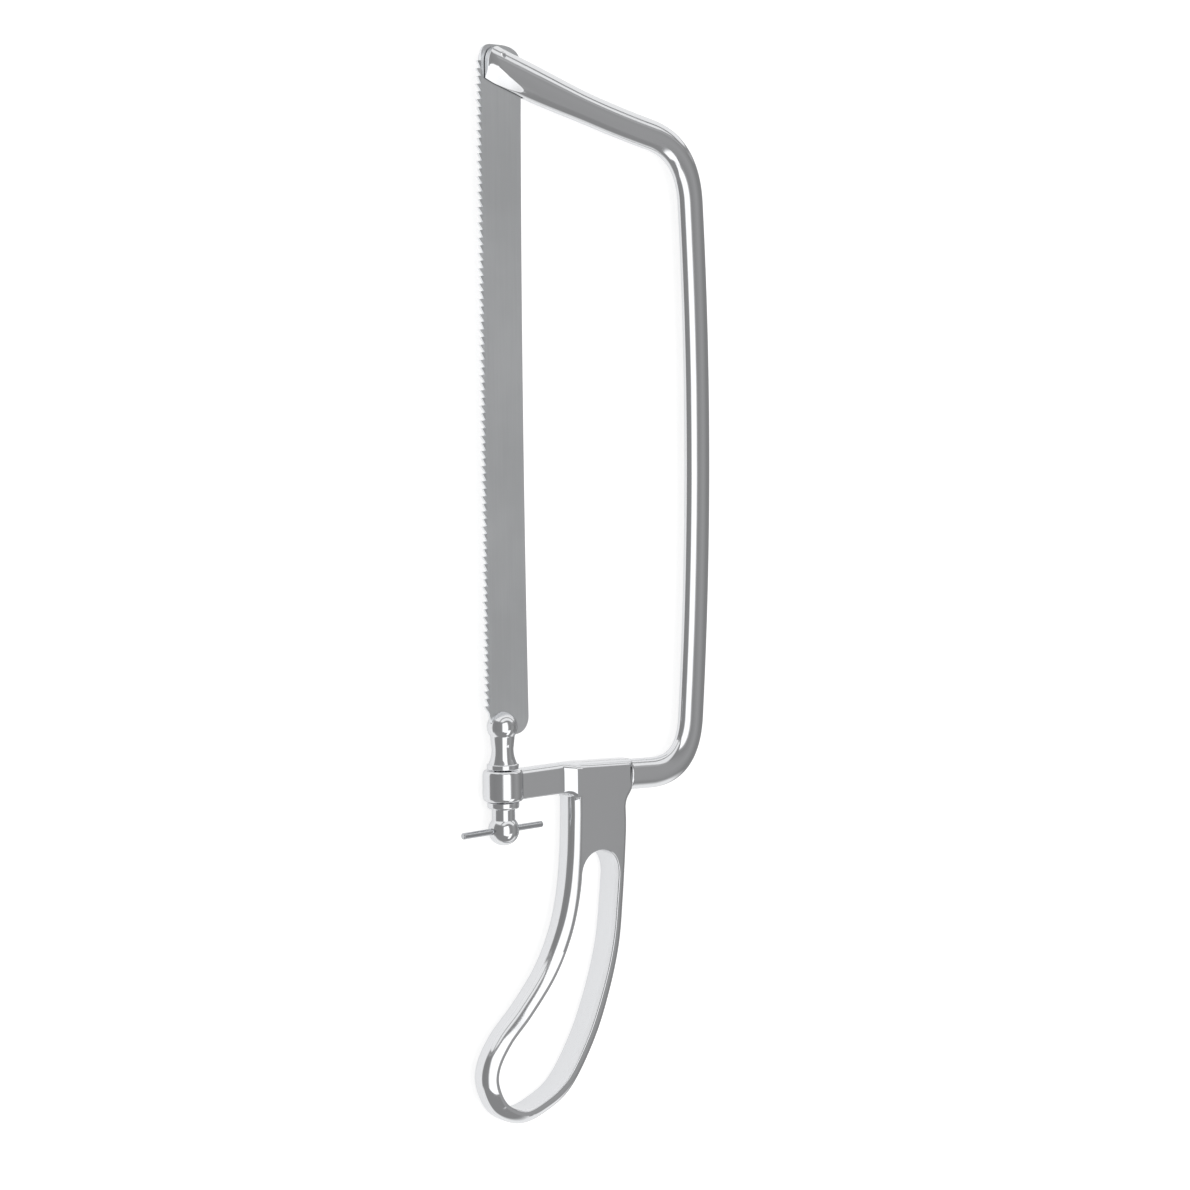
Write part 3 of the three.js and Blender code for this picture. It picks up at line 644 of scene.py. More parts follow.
# %% [markdown]
# The bow is one forged and polished bar. It leaves the forked toe, slopes along the toe arm, turns into the
# bowed spine, turns again and runs straight into the handle's block. A curve with a bevel would do for a
# round rod, but this bar is oval and swells towards the toe, so oval rings are set square to its path and
# skinned. The toe is then dressed to its nose, filed flat under each cheek and slotted for the blade.

# %% Bow path
BAR_HEIGHT = 10.8
BAR_DEPTH = 6.6
TOE_HEIGHT = 12.6
TOE_DEPTH = 6.8
TOE_FLARE = 34.0
TOE_ARM_Y = 238.8
TOE_ARM_SLOPE = math.radians(18.0)
TOE_CORNER_SLOPE = math.radians(11.5)
BAR_SLOPE = math.radians(3.0)
ARM_BEND = Vector((36.2, 227.69))
TOE_CORNER = Vector((89.8, 216.78))
HEEL_CORNER = Vector((87.7, -3.4))
SPINE_BOW = 3.99
CORNER_RUN = 19.0
BLOCK_END = 57.3
BAR_END = BLOCK_END + 0.08  # a brazed joint shows as a hairline
NOSE_RUN = 16.35  # the bar starts this far before the toe pin, to be dressed to the nose
LEG_STEPS = (48, 32, 64, 32, 8)


def heading(angle):
    return Vector((math.cos(angle), math.sin(angle)))


def bow_stations():
    """Places along the bar's middle, each with the way the bar runs there."""
    toe = Vector((TOE_PIN_X, TOE_ARM_Y))
    spine = (TOE_CORNER + HEEL_CORNER) / 2 + Vector((2 * SPINE_BOW, 0.0))
    nose = toe + NOSE_RUN * heading(math.pi - TOE_ARM_SLOPE)
    arm_end = TOE_CORNER + CORNER_RUN * heading(math.pi - TOE_CORNER_SLOPE)
    spine_top = TOE_CORNER + CORNER_RUN * (spine - TOE_CORNER).normalized()
    spine_foot = HEEL_CORNER + CORNER_RUN * (spine - HEEL_CORNER).normalized()
    into_block = heading(math.pi - BAR_SLOPE)
    bar_start = HEEL_CORNER + CORNER_RUN * into_block
    bar_end = HEEL_CORNER + (HEEL_CORNER.x - BAR_END) / math.cos(BAR_SLOPE) * into_block
    legs = [
        (nose, ARM_BEND, arm_end),
        (arm_end, TOE_CORNER, spine_top),
        (spine_top, spine, spine_foot),
        (spine_foot, HEEL_CORNER, bar_start),
        (bar_start, (bar_start + bar_end) / 2, bar_end),
    ]
    stations = []
    for leg, (start, corner, stop) in enumerate(legs):
        for t in shares(LEG_STEPS[leg])[1 if leg else 0:]:
            run = (1 - t) * (corner - start) + t * (stop - corner)
            stations.append((aimed(start, corner, stop, t), run.normalized(), leg == 0))
    return stations


print("bow stations:", len(bow_stations()))

# %% Bow bar
BAR_SIDES = 72
END_EASING = 0.7
END_STEPS = 5


def part_way(start, stop, share):
    return start + (stop - start) * share


def smooth_step(t):
    t = min(1.0, max(0.0, t))
    return t * t * (3 - 2 * t)


def oval_ring(centre, run, half_height, half_depth):
    ring = []
    for angle in round_angles(BAR_SIDES):
        rise = half_height * math.cos(angle)
        ring.append((centre.x - run.y * rise, centre.y + run.x * rise, half_depth * math.sin(angle)))
    return ring


def bow_rings():
    rings = []
    stations = bow_stations()
    for centre, run, in_toe in stations[:-1]:
        swell = 1 - smooth_step((centre.x - BLADE_BACK) / TOE_FLARE) if in_toe else 0.0
        half_height = part_way(BAR_HEIGHT, TOE_HEIGHT, swell) / 2
        half_depth = part_way(BAR_DEPTH, TOE_DEPTH, swell) / 2
        rings.append(oval_ring(centre, run, half_height, half_depth))
    end, run, _ = stations[-1]
    for t in shares(END_STEPS):
        angle = math.pi / 2 * t
        sink = END_EASING * (1 - math.cos(angle))
        centre = end - END_EASING * (1 - math.sin(angle)) * run
        rings.append(oval_ring(centre, run, BAR_HEIGHT / 2 - sink, BAR_DEPTH / 2 - sink))
    return rings


polished_bow = skin_rings("polished_bow", bow_rings())
print("bow skinned, faces:", len(polished_bow.data.polygons))

# %% Forked toe
NOSE_X = -4.35
NOSE_TAPER = 9.0
NOSE_SLANT = 0.4  # the cheeks thin sooner below: their taper leans this far to a millimetre of height
NOSE_FOOT = 231.0
NOSE_ROUND = 6.0
NOSE_SQUARE = 1.0
FORK_END = 12.7
FORK_WIDTH = 1.6
PLAN_STEPS = 40
CHEEK_FLATS = (  # filed on each cheek: a place on the upper edge, its fall and the slope, degrees
    (Vector((-2.07, 239.2)), 26.0, 26.0),
    (Vector((-2.61, 238.79)), 22.0, 31.0),
)
FLAT_REACH = (-15.0, 30.0)
FLAT_WIDTH = (-1.0, 12.0)
BEYOND = 30.0  # how far a cutting shape runs past the bar


def nose_side():
    """The toe seen square to the saw: upright at the nose and rounded above."""
    crown = TOE_ARM_Y + TOE_HEIGHT / 2 / math.cos(TOE_ARM_SLOPE)
    far, low = TOE_CORNER.x + BEYOND, HEEL_CORNER.y - BEYOND
    outline = [(NOSE_X, low), (far, low), (far, crown + BEYOND)]
    return outline + bent((NOSE_X + NOSE_ROUND, crown), (NOSE_X, crown), (NOSE_X, TOE_ARM_Y + NOSE_SQUARE))


def nose_plan():
    """The toe seen along the blade: the cheeks thin down in half an oval."""
    shoulder, far = NOSE_X + NOSE_TAPER, TOE_CORNER.x + 2 * BEYOND
    outline = [(shoulder, -BEYOND), (far, -BEYOND), (far, BEYOND), (shoulder, BEYOND)]
    for across, along in arc(0.0, 0.0, 1.0, 90, 270, PLAN_STEPS):
        outline.append((shoulder + NOSE_TAPER * across, TOE_DEPTH / 2 * along))
    return outline


def cheek_file(side, start, fall, slope):
    """The wedge that files a long flat on one cheek, wide at the nose and dying out under the arm."""
    run, down = heading(-math.radians(fall)), heading(-math.radians(90 + fall))
    rings = []
    for along in FLAT_REACH:
        ring = []
        for out in FLAT_WIDTH:
            place = start + along * run + out * down
            rise = TOE_DEPTH / 2 - math.tan(math.radians(slope)) * out
            ring += [(place.x, place.y, side * rise), (place.x, place.y, side * BEYOND)]
        rings.append([ring[0], ring[2], ring[3], ring[1]])
    return skin_rings("cheek_file", rings)


low_y, high_y = HEEL_CORNER.y - 2 * BEYOND, TOE_ARM_Y + 2 * BEYOND
work_with(polished_bow, thick_outline("nose_side", nose_side(), BEYOND), "INTERSECT")
plan_rings = [
    [(x - NOSE_SLANT * max(0.0, y - NOSE_FOOT), y, z) for x, z in nose_plan()]
    for y in (low_y, NOSE_FOOT, high_y)
]
work_with(polished_bow, skin_rings("nose_plan", plan_rings), "INTERSECT")
for flat in CHEEK_FLATS:
    for side in (-1, 1):
        work_with(polished_bow, cheek_file(side, *flat), "DIFFERENCE")
fork = [(-BEYOND, low_y), (FORK_END, low_y), (FORK_END, high_y), (-BEYOND, high_y)]
work_with(polished_bow, thick_outline("fork", fork, FORK_WIDTH / 2), "DIFFERENCE")
drill_for_pin(polished_bow, TOE_PIN_X, TOE_PIN_Y)
finish_piece(polished_bow, "frame", "bow_frame", crease=30.0)

# %% [markdown]
# The handle is one casting: a block that takes the bow, a neck, a long loop for the fingers, and an arm out
# to the barrel. Its outer edge is rounded like a bull's nose so that it is kind to the hand, a little tighter
# along the back, and the finger opening goes straight through with just its edges eased. A bevel modifier
# gives one round section all over, so the edge is drawn instead as rows of points: upright at the middle,
# then a quick turn and a long slope up to the flat, as a file and a wheel leave it.

# %% Loop outline
NECK_LEFT = 28.0
NECK_RIGHT = 54.0
NECK_FOOT = -12.5
LOOP_LENGTH = 102.99
LOOP_SWEEP = 40.0
BACK_EDGE = [(0, 0), (0, 0.09), (0.045, 0.306), (0.1, 0.468), (0.225, 0.625), (0.41, 0.778)]
END_EDGE = [(0.69, 0.921), (0.99, 0.983)]
NOSE_EDGE = [(0.612, 1), (0.872, 0.95), (1, 0.857), (0.982, 0.775), (0.832, 0.69)]
FRONT_EDGE = [(0.59, 0.607), (0.335, 0.502), (0.165, 0.39), (0.068, 0.275), (0.018, 0.143), (0, 0)]
LOOP_STEPS = 14


def loop_edge():
    """The loop's outer edge, from the back of the neck round the end to the front of the neck."""
    def places(side, spots):
        return [Vector((side - a * LOOP_SWEEP, NECK_FOOT - d * LOOP_LENGTH)) for a, d in spots]

    return flowing(
        places(NECK_RIGHT, BACK_EDGE + END_EDGE) + places(NECK_LEFT, NOSE_EDGE + FRONT_EDGE), LOOP_STEPS
    )


print("loop outline points:", len(loop_edge()))

# %% Handle outline
BLOCK_TOP = 5.7
BLOCK_FALL = 1.6
BLOCK_FOOT = -4.5
BULL_NOSE = 3.8  # how far the rounded edge reaches in
LOOP_NOSE = 3.4  # the same round the loop's end and along its front
BACK_NOSE = 2.8  # the same along the back of the loop
BLOCK_NOSE = 2.6  # the same over the top of the block
NECK_EDGE = (0.55, 0.84)  # shares of its rise up to which the edge is upright, and from which it slopes
LOOP_EDGE = (0.50, 0.63)  # the same on the loop, which is worn rounder
BLOCK_EDGE = (0.55, 0.93)  # and on the block
TOP_LEFT_EASING = 5.2  # hidden in the arm's root
TOP_RIGHT_EASING = 1.0
CORNER_POINTS = 13  # points over which the neck's rounding turns into the block's
CORNER_STEPS = 12
NECK_STEPS = 13
TOP_STEPS = 24
WAIST_STEPS = 20
BACK_TURN = (0.35, 0.15)  # share of the loop from which the back's rounding changes, and over how much
NECK_TURN = (0.75, 0.2)  # the same from the loop's rounding to the neck's


def swung(first, second, third, fourth, t):
    """The place at share t of a curve that leaves aiming at the second and arrives from the third."""
    return (
        (1 - t) ** 3 * first + 3 * t * (1 - t) ** 2 * second
        + 3 * t * t * (1 - t) * third + t ** 3 * fourth
    )


def turns(first, second, share):
    """Where a rounding turns, part way between two kinds of edge."""
    return [part_way(a, b, share) for a, b in zip(first, second)]


def handle_edge():
    """The whole outline, each point with how far its rounding reaches in and where that turns."""
    loop = loop_edge()
    edge = []
    for place, share in zip(loop, shares(len(loop) - 1)):
        away = smooth_step((share - BACK_TURN[0]) / BACK_TURN[1])
        neck = smooth_step((share - NECK_TURN[0]) / NECK_TURN[1])
        reach = part_way(BACK_NOSE, LOOP_NOSE, away) + (BULL_NOSE - LOOP_NOSE) * neck
        edge.append((*place, reach, turns(LOOP_EDGE, NECK_EDGE, max(neck, 1 - away))))
    for share in shares(NECK_STEPS)[1:-1]:
        y = part_way(NECK_FOOT, BLOCK_TOP - TOP_LEFT_EASING, share)
        edge.append((NECK_LEFT, y, BULL_NOSE, NECK_EDGE))
    corners = eased([
        (NECK_LEFT, 0.0, 0),
        (NECK_LEFT, BLOCK_TOP, TOP_LEFT_EASING),
        (BLOCK_END, BLOCK_TOP - BLOCK_FALL, TOP_RIGHT_EASING),
        (BLOCK_END, BLOCK_FOOT, 0),
    ], CORNER_STEPS)[1:]
    middle = (NECK_LEFT + BLOCK_END) / 2
    left_top = [point for point in corners if point.x < middle]
    right_top = [point for point in corners if point.x >= middle]
    top = left_top + [left_top[-1].lerp(right_top[0], share) for share in shares(TOP_STEPS)[1:-1]]
    for k, point in enumerate(top):
        share = smooth_step(k / CORNER_POINTS)
        reach = part_way(BULL_NOSE, BLOCK_NOSE, share)
        edge.append((*point, reach, turns(NECK_EDGE, BLOCK_EDGE, share)))
    edge += [(*point, BACK_NOSE, NECK_EDGE) for point in right_top]
    waist = (BLOCK_FOOT + NECK_FOOT) / 2
    for t in shares(WAIST_STEPS)[1:-1]:
        x = swung(BLOCK_END, BLOCK_END, NECK_RIGHT, NECK_RIGHT, t)
        y = swung(BLOCK_FOOT, waist, waist, NECK_FOOT, t)
        edge.append((x, y, BACK_NOSE, NECK_EDGE))
    return edge


print("handle outline points:", len(handle_edge()))

# %% Finger opening
STRAP = 4.8
STRAP_AT_NECK = 3.8
STRAP_GROWTH = 0.25  # share of the loop over which the strap reaches its thickness
ARCH_FOOT = -34.5
ARCH_TOP = -26.0
ARCH_FLATNESS = 6.0
ARCH_STEPS = 16


def inward(points):
    """For each point of a closed clockwise outline, the way into it."""
    ways = []
    for k in range(len(points)):
        run = (points[(k + 1) % len(points)] - points[k - 1]).normalized()
        ways.append(Vector((run.y, -run.x)))
    return ways


def opening_edge():
    """The opening follows the loop at the strap's thickness and is arched at its top."""
    loop = loop_edge()
    last = len(loop) - 1
    inner = []
    for k, place in enumerate(loop):
        run = (loop[min(k + 1, last)] - loop[max(k - 1, 0)]).normalized()
        strap = part_way(STRAP_AT_NECK, STRAP, min(1.0, k / last / STRAP_GROWTH))
        point = place + strap * Vector((run.y, -run.x))
        if point.y < ARCH_FOOT:
            inner.append(point)
    start, finish = inner[0], inner[-1]
    middle = (start.x + finish.x) / 2
    shoulder = (ARCH_FOOT + ARCH_TOP) / 2
    crown = Vector((middle, ARCH_TOP))
    flat = Vector((ARCH_FLATNESS, 0.0))
    arch = []
    for curve in (
        (finish, Vector((finish.x, shoulder)), crown - flat, crown),
        (crown, crown + flat, Vector((start.x, shoulder)), start),
    ):
        arch += [swung(*curve, t) for t in shares(ARCH_STEPS)[1:]]
    return inner + arch[:-1]


print("opening points:", len(opening_edge()))

# %% Handle body
HANDLE_HALF = 5.0
NOSE_RISE = 4.3  # how much of the half depth is rounded
EDGE_STEPS = 12
SLOPE_REACH = 0.25  # share of its reach at which it starts to slope up to the flat
OPENING_EASING = 0.5
OPENING_STEPS = 4


def both_sides(steps):
    """Steps of an edge from one flat down to the saw's middle, and on up to the other flat."""
    rising = shares(steps)
    return [(-1, t) for t in reversed(rising)] + [(1, t) for t in rising]


def make_handle():
    edge = handle_edge()
    ways = inward([Vector(entry[:2]) for entry in edge])
    opening = opening_edge()
    opening_ways = inward(opening)
    places = []
    rims = []
    for side, t in both_sides(EDGE_STEPS):
        rims.append(range(len(places), len(places) + len(edge)))
        for (x, y, reach, turn), way in zip(edge, ways):
            inset = swung(0.0, 0.0, SLOPE_REACH, 1.0, t) * reach
            rise = swung(0.0, *turn, 1.0, t)
            height = side * (HANDLE_HALF - NOSE_RISE * (1 - rise))
            places.append((x + inset * way.x, y + inset * way.y, height))
    holes = []
    for side, t in both_sides(OPENING_STEPS):
        angle = math.pi / 2 * t
        sink = OPENING_EASING * (math.cos(angle) - 1)
        height = side * (HANDLE_HALF - OPENING_EASING * (1 - math.sin(angle)))
        holes.append(range(len(places), len(places) + len(opening)))
        for point, way in zip(opening, opening_ways):
            places.append((point.x + sink * way.x, point.y + sink * way.y, height))
    faces = []
    for rows in (rims, holes):
        for low, high in zip(rows, rows[1:]):
            faces += between(low, high)
    for outer, inner in ((rims[0], holes[0]), (rims[-1], holes[-1])):
        index = [*outer, *inner]
        loops = [[Vector(places[k]) for k in row] for row in (outer, inner)]
        faces += [[index[k] for k in triangle] for triangle in tessellate_polygon(loops)]
    return make_piece("loop_handle", places, faces)


loop_handle = make_handle()
print("handle body faces:", len(loop_handle.data.polygons))

# %% Heel arm
ARM_TOP = 5.7
ARM_BOTTOM = -4.8
ARM_HALF = 2.7
ARM_TOP_ROUND = (2.3, 3.2)  # across and down
ARM_FOOT_ROUND = 0.9
ROOT_FOOT_ROUND = 2.4
ARM_SINK = 0.02
ROOT_HALF = 4.97
ROOT_LAND = 0.3  # how little of the root's top stays flat
RAMP_START = 25.1
RAMP_LENGTH = 4.5
COVE_DROP = 3.0
ARM_START = 3.4
ARM_ROOT = 34.4
SADDLE = BARREL_RADIUS + 0.04  # a brazed joint shows as a hairline
SADDLE_HALF = 25.0
ARM_STEPS = 8
RAMP_STEPS = 16
ROUND_STEPS = 8


def arm_ring(x, share):
    """A bar section with a round top edge and a crisper bottom edge; the root rounds like the block."""
    fall = BLOCK_FALL * max(0.0, x - NECK_LEFT) / (BLOCK_END - NECK_LEFT)
    top = ARM_TOP - ARM_SINK - fall
    bottom = ARM_BOTTOM - COVE_DROP * (1 - math.sqrt(max(0.0, 1 - share * share)))
    half = part_way(ARM_HALF, ROOT_HALF, share)
    across = part_way(ARM_TOP_ROUND[0], ROOT_HALF - ROOT_LAND, share)
    down = part_way(ARM_TOP_ROUND[1], BLOCK_NOSE + ROOT_LAND, share)
    foot = part_way(ARM_FOOT_ROUND, ROOT_FOOT_ROUND, share)
    quarter = []
    for a, b in arc(0.0, 0.0, 1.0, 90, 0, ROUND_STEPS):
        quarter.append((half - across + across * a, top - down + down * b))
    quarter += arc(half - foot, bottom + foot, foot, 0, -90, ROUND_STEPS)
    ring = [(x, y, z) for z, y in quarter]
    return ring + [(x, y, -z) for z, y in reversed(quarter)]


def arm_rings():
    rings = [arm_ring(part_way(ARM_START, RAMP_START, t), 0.0) for t in shares(ARM_STEPS)[:-1]]
    for t in shares(RAMP_STEPS):
        share = math.sin(math.pi / 2 * t)
        rings.append(arm_ring(RAMP_START + RAMP_LENGTH * share, share))
    rings.append(arm_ring(ARM_ROOT, 1.0))
    return rings


work_with(loop_handle, skin_rings("heel_arm", arm_rings()), "UNION")
work_with(loop_handle, turn_on_lathe("saddle", plain_rod(SADDLE, SADDLE_HALF)), "DIFFERENCE")
finish_piece(loop_handle, "frame", "handle_casting", crease=28.0)

# %% [markdown]
# Colours are written the way a paint chart gives them, as hex values, and Blender works in linear light, so
# one function turns one into the other. A small function adds a shader node with its settings, values and
# links at once, which keeps each finish readable from top to bottom. A node that is given where a value could
# stand is linked by its first output. The last function fills a colour ramp.

# %% Colour and node helpers
def linear(code, strength=1.0):
    values = []
    for k in (1, 3, 5):
        share = int(code[k:k + 2], 16) / 255
        value = share / 12.92 if share <= 0.04045 else ((share + 0.055) / 1.055) ** 2.4
        values.append(value * strength)
    return (*values, 1.0)


def feed(node, sockets):
    """Fill a node's sockets, each with a plain value or with a link from another node."""
    for name, value in sockets.items():
        if isinstance(value, bpy.types.Node):
            value = value.outputs[0]
        if isinstance(value, bpy.types.NodeSocket):
            node.id_data.links.new(value, node.inputs[name])
        else:
            node.inputs[name].default_value = value


def add(tree, kind, sockets=None, **settings):
    made = tree.nodes.new(kind)
    for name, value in settings.items():
        setattr(made, name, value)
    feed(made, sockets or {})
    return made


def set_tones(ramp, tones, low, high):
    """Fill a ramp with (place, tone), the places running from low to high."""
    stops = ramp.color_ramp.elements
    while len(stops) > 1:
        stops.remove(stops[-1])
    for k, (place, tone) in enumerate(tones):
        share = (place - low) / (high - low)
        stop = stops[0] if k == 0 else stops.new(share)
        stop.position = share
        stop.color = linear(tone)


print("mid grey #777777 in linear light:", round(linear("#777777")[0], 3))

# %% [markdown]
# Bow, handle and turned pieces are carbon steel, nickel plated and buffed on a cloth wheel. To the eye that
# is a mirror with a soft edge to its reflections: it has next to no colour of its own and takes its tones
# from the room. The wheel leaves the surface very slightly wavy, which makes the long reflections wander,
# and hands leave faint duller patches. A plain metal with one roughness would look like computer chrome.

# %% Buffed nickel plate
WAVE_SIZE = 0.014  # width of the wheel's waves, m
WAVE_HEIGHT = 0.00008  # m
PATCH_SIZE = 0.022  # width of a handling patch, m
HAIRLINE = 0.0007  # buffing hairlines, drawn coarser than the real 0.05 mm so that they show, m
HAIR_HEIGHT = 0.000004  # m


def new_metal(name):
    """A new finish, its node tree, its shader, which is all metal, and the place on the piece."""
    finish = bpy.data.materials.new(name)
    finish.use_nodes = True
    tree = finish.node_tree
    shader = tree.nodes["Principled BSDF"]
    shader.inputs["Metallic"].default_value = 1.0
    return finish, tree, shader, add(tree, "ShaderNodeTexCoord").outputs["Object"]


def buffed_nickel():
    finish, tree, shader, place = new_metal("buffed_nickel_plate")
    patches = add(tree, "ShaderNodeTexNoise", {"Vector": place, "Scale": 1 / PATCH_SIZE, "Detail": 3.0})
    dull = add(tree, "ShaderNodeMapRange", {
        "Value": patches, "From Min": 0.35, "From Max": 0.75, "To Min": 0.07, "To Max": 0.15,
    })
    waves = add(tree, "ShaderNodeTexNoise", {"Vector": place, "Scale": 1 / WAVE_SIZE, "Detail": 1.0})
    hairs = add(tree, "ShaderNodeTexNoise", {"Vector": place, "Scale": 1 / HAIRLINE, "Detail": 2.0})
    wavy = add(tree, "ShaderNodeBump", {"Height": waves, "Strength": 1.0, "Distance": WAVE_HEIGHT})
    fine = add(tree, "ShaderNodeBump", {
        "Height": hairs, "Strength": 0.25, "Distance": HAIR_HEIGHT, "Normal": wavy,
    })
    feed(shader, {"Base Color": linear("#E3E4E6"), "Roughness": dull, "Normal": fine})
    return finish


polished_finish = buffed_nickel()
print("finish:", polished_finish.name)

# %% [markdown]
# The blade is spring steel, ground lengthwise on a belt and left uncoated. That gives a satin grey that
# stretches reflections across the grinding lines and carries faint lighter and darker streaks along the
# blade. Fine noise pulled out along Y draws the lines; the same noise dulls and tints the steel a little.

# %% Ground spring steel
LINE_WIDTH = 0.0006  # grinding lines, drawn coarser than the real 0.1 mm so that they show, m
LINE_LENGTH = 0.03  # m
LINE_HEIGHT = 0.00001  # m
STAIN_SIZE = 0.03  # slow clouding of bare steel, m
LINE_SHARE = 0.3  # how much the lines tint the steel, beside the clouding


def fine_lines(tree, place, pull, detail):
    """Noise that is pulled out into lines, by the size of a line along X, Y and Z."""
    drawn = add(tree, "ShaderNodeMapping", {"Vector": place, "Scale": [1 / size for size in pull]})
    return add(tree, "ShaderNodeTexNoise", {"Vector": drawn, "Scale": 1.0, "Detail": detail})


def mark_steel(shader, lines, shade, tones, dull, relief):
    """Let the lines dull and roughen the steel, and let the shade tint it."""
    tree = shader.id_data
    tint = add(tree, "ShaderNodeValToRGB", {"Fac": shade})
    set_tones(tint, tones, 0, 1)
    rough = add(tree, "ShaderNodeMapRange", {
        "Value": lines, "From Min": 0.3, "From Max": 0.7, "To Min": dull[0], "To Max": dull[1],
    })
    bump = add(tree, "ShaderNodeBump", {"Height": lines, "Strength": relief, "Distance": LINE_HEIGHT})
    feed(shader, {"Base Color": tint, "Roughness": rough, "Normal": bump})


def ground_spring_steel():
    finish, tree, shader, place = new_metal("ground_spring_steel")
    lines = fine_lines(tree, place, (LINE_WIDTH, LINE_LENGTH, LINE_WIDTH), 3.0)
    clouds = add(tree, "ShaderNodeTexNoise", {"Vector": place, "Scale": 1 / STAIN_SIZE, "Detail": 2.0})
    both = add(tree, "ShaderNodeMath", {0: lines, 1: LINE_SHARE, 2: clouds}, operation="MULTIPLY_ADD")
    mark_steel(shader, lines, both, ((0.45, "#E6E8EA"), (0.85, "#F2F4F6")), (0.29, 0.34), 0.12)
    return finish


blade_finish = ground_spring_steel()
print("finish:", blade_finish.name)

# %% [markdown]
# The tommy bar is a cut length of bright drawn steel rod, pressed through the ball and left unplated. To the
# eye it is darker than its neighbours, and the die leaves fine lines along it. A tint of the nickel would do
# from afar, but those lines run one way, so the rod gets a finish of its own from noise pulled out along X.

# %% Bright drawn rod
DIE_LINE = 0.0003  # die lines, drawn coarser than the real 0.05 mm so that they show, m
DIE_LENGTH = 0.02  # m


def drawn_rod_steel():
    finish, tree, shader, place = new_metal("bright_drawn_rod")
    lines = fine_lines(tree, place, (DIE_LENGTH, DIE_LINE, DIE_LINE), 2.0)
    mark_steel(shader, lines, lines, ((0.3, "#BEC0C3"), (0.7, "#CACCCF")), (0.16, 0.24), 0.15)
    return finish


rod_finish = drawn_rod_steel()
print("finish:", rod_finish.name)

# %% Lay the finishes on
FINISHES = {
    polished_finish: (
        polished_bow, loop_handle, barrel_sleeve, turned_holder, ball_nut, heel_cross_pin, toe_cross_pin,
    ),
    blade_finish: (ground_blade,),
    rod_finish: (tommy_rod,),
}
for finish, pieces in FINISHES.items():
    for piece in pieces:
        piece.data.materials.clear()
        piece.data.materials.append(finish)
    print(finish.name, "on", len(pieces))

# %% [markdown]
# A mirror shows its room, so the room matters as much as the steel. The turned pieces are true rounds, so
# their bands tell where things stood: a pale sheet below the saw, grey walls beside it, one white light box
# overhead on the side of the camera, a white card that carries it on towards the handle, and low pale walls
# past both ends. The world paints that room by direction. Tones go round the saw's length in degrees: 0
# level on the side of the teeth, 90 straight up, 180 level behind the spine. Real lamps and cards would do
# the same, but they would also stand in other views.

# %% Tones of the room
SIDE_TONES = (
    (-180, "#909090"), (-139, "#909090"), (-133, "#FFFFFF"), (-70, "#FFFFFF"), (-50, "#F0F0F0"),
    (-38, "#F4F4F4"), (-30, "#949494"), (0, "#8E8E8E"), (45, "#949494"), (97, "#A8A8A8"), (106, "#949494"),
    (120, "#9E9E9E"), (133, "#A6A6A6"), (146, "#9C9C9C"), (160, "#8E8E8E"), (180, "#909090"),
)
BOX_TONES = ((46, "#000000"), (56, "#FFFFFF"), (90, "#FFFFFF"), (97, "#000000"))
BOX_LIGHT = 1.4  # a light box is brighter than white paper
BOX_MIDDLE = -0.05  # lengthways over upwards, for the box's middle and half its length
BOX_HALF = 0.75
CARD_TONES = ((92, "#000000"), (97, "#FFFFFF"), (117, "#FFFFFF"), (121, "#000000"))
CARD_MIDDLE = -0.95  # a white card carries the light box on towards the handle
CARD_HALF = 0.55
TOE_END_TONES = (
    (-1.0, "#FFFFFF"), (0.26, "#FFFFFF"), (0.30, "#8E8E8E"), (0.36, "#8E8E8E"), (0.40, "#FFFFFF"),
    (0.64, "#FFFFFF"), (0.70, "#949494"), (1.0, "#949494"),
)
HANDLE_END_TONES = ((-1.0, "#FFFFFF"), (-0.12, "#FFFFFF"), (0.12, "#949494"), (1.0, "#949494"))
TOE_END_SHARE = (  # how much the wall past the toe shows, by the lengthways part of a direction
    (0.44, "#000000"), (0.46, "#868686"), (0.485, "#868686"), (0.505, "#000000"), (0.53, "#000000"),
    (0.555, "#FFFFFF"),
)
TOE_END_LEAN = 0.21  # and how much sooner it does so towards the spine
HANDLE_END_FROM = (-0.45, -0.60)
HANDLE_END_LEAN = -0.45  # its pale part stands higher towards the spine
print("tones round the saw:", len(SIDE_TONES))

# %% Studio world
MIX_SHARE, MIX_FIRST, MIX_SECOND, MIX_RESULT = 0, 6, 7, 2  # sockets of a colour mix, by number
LEAST_RISE = 0.001  # keeps level directions out of the light box


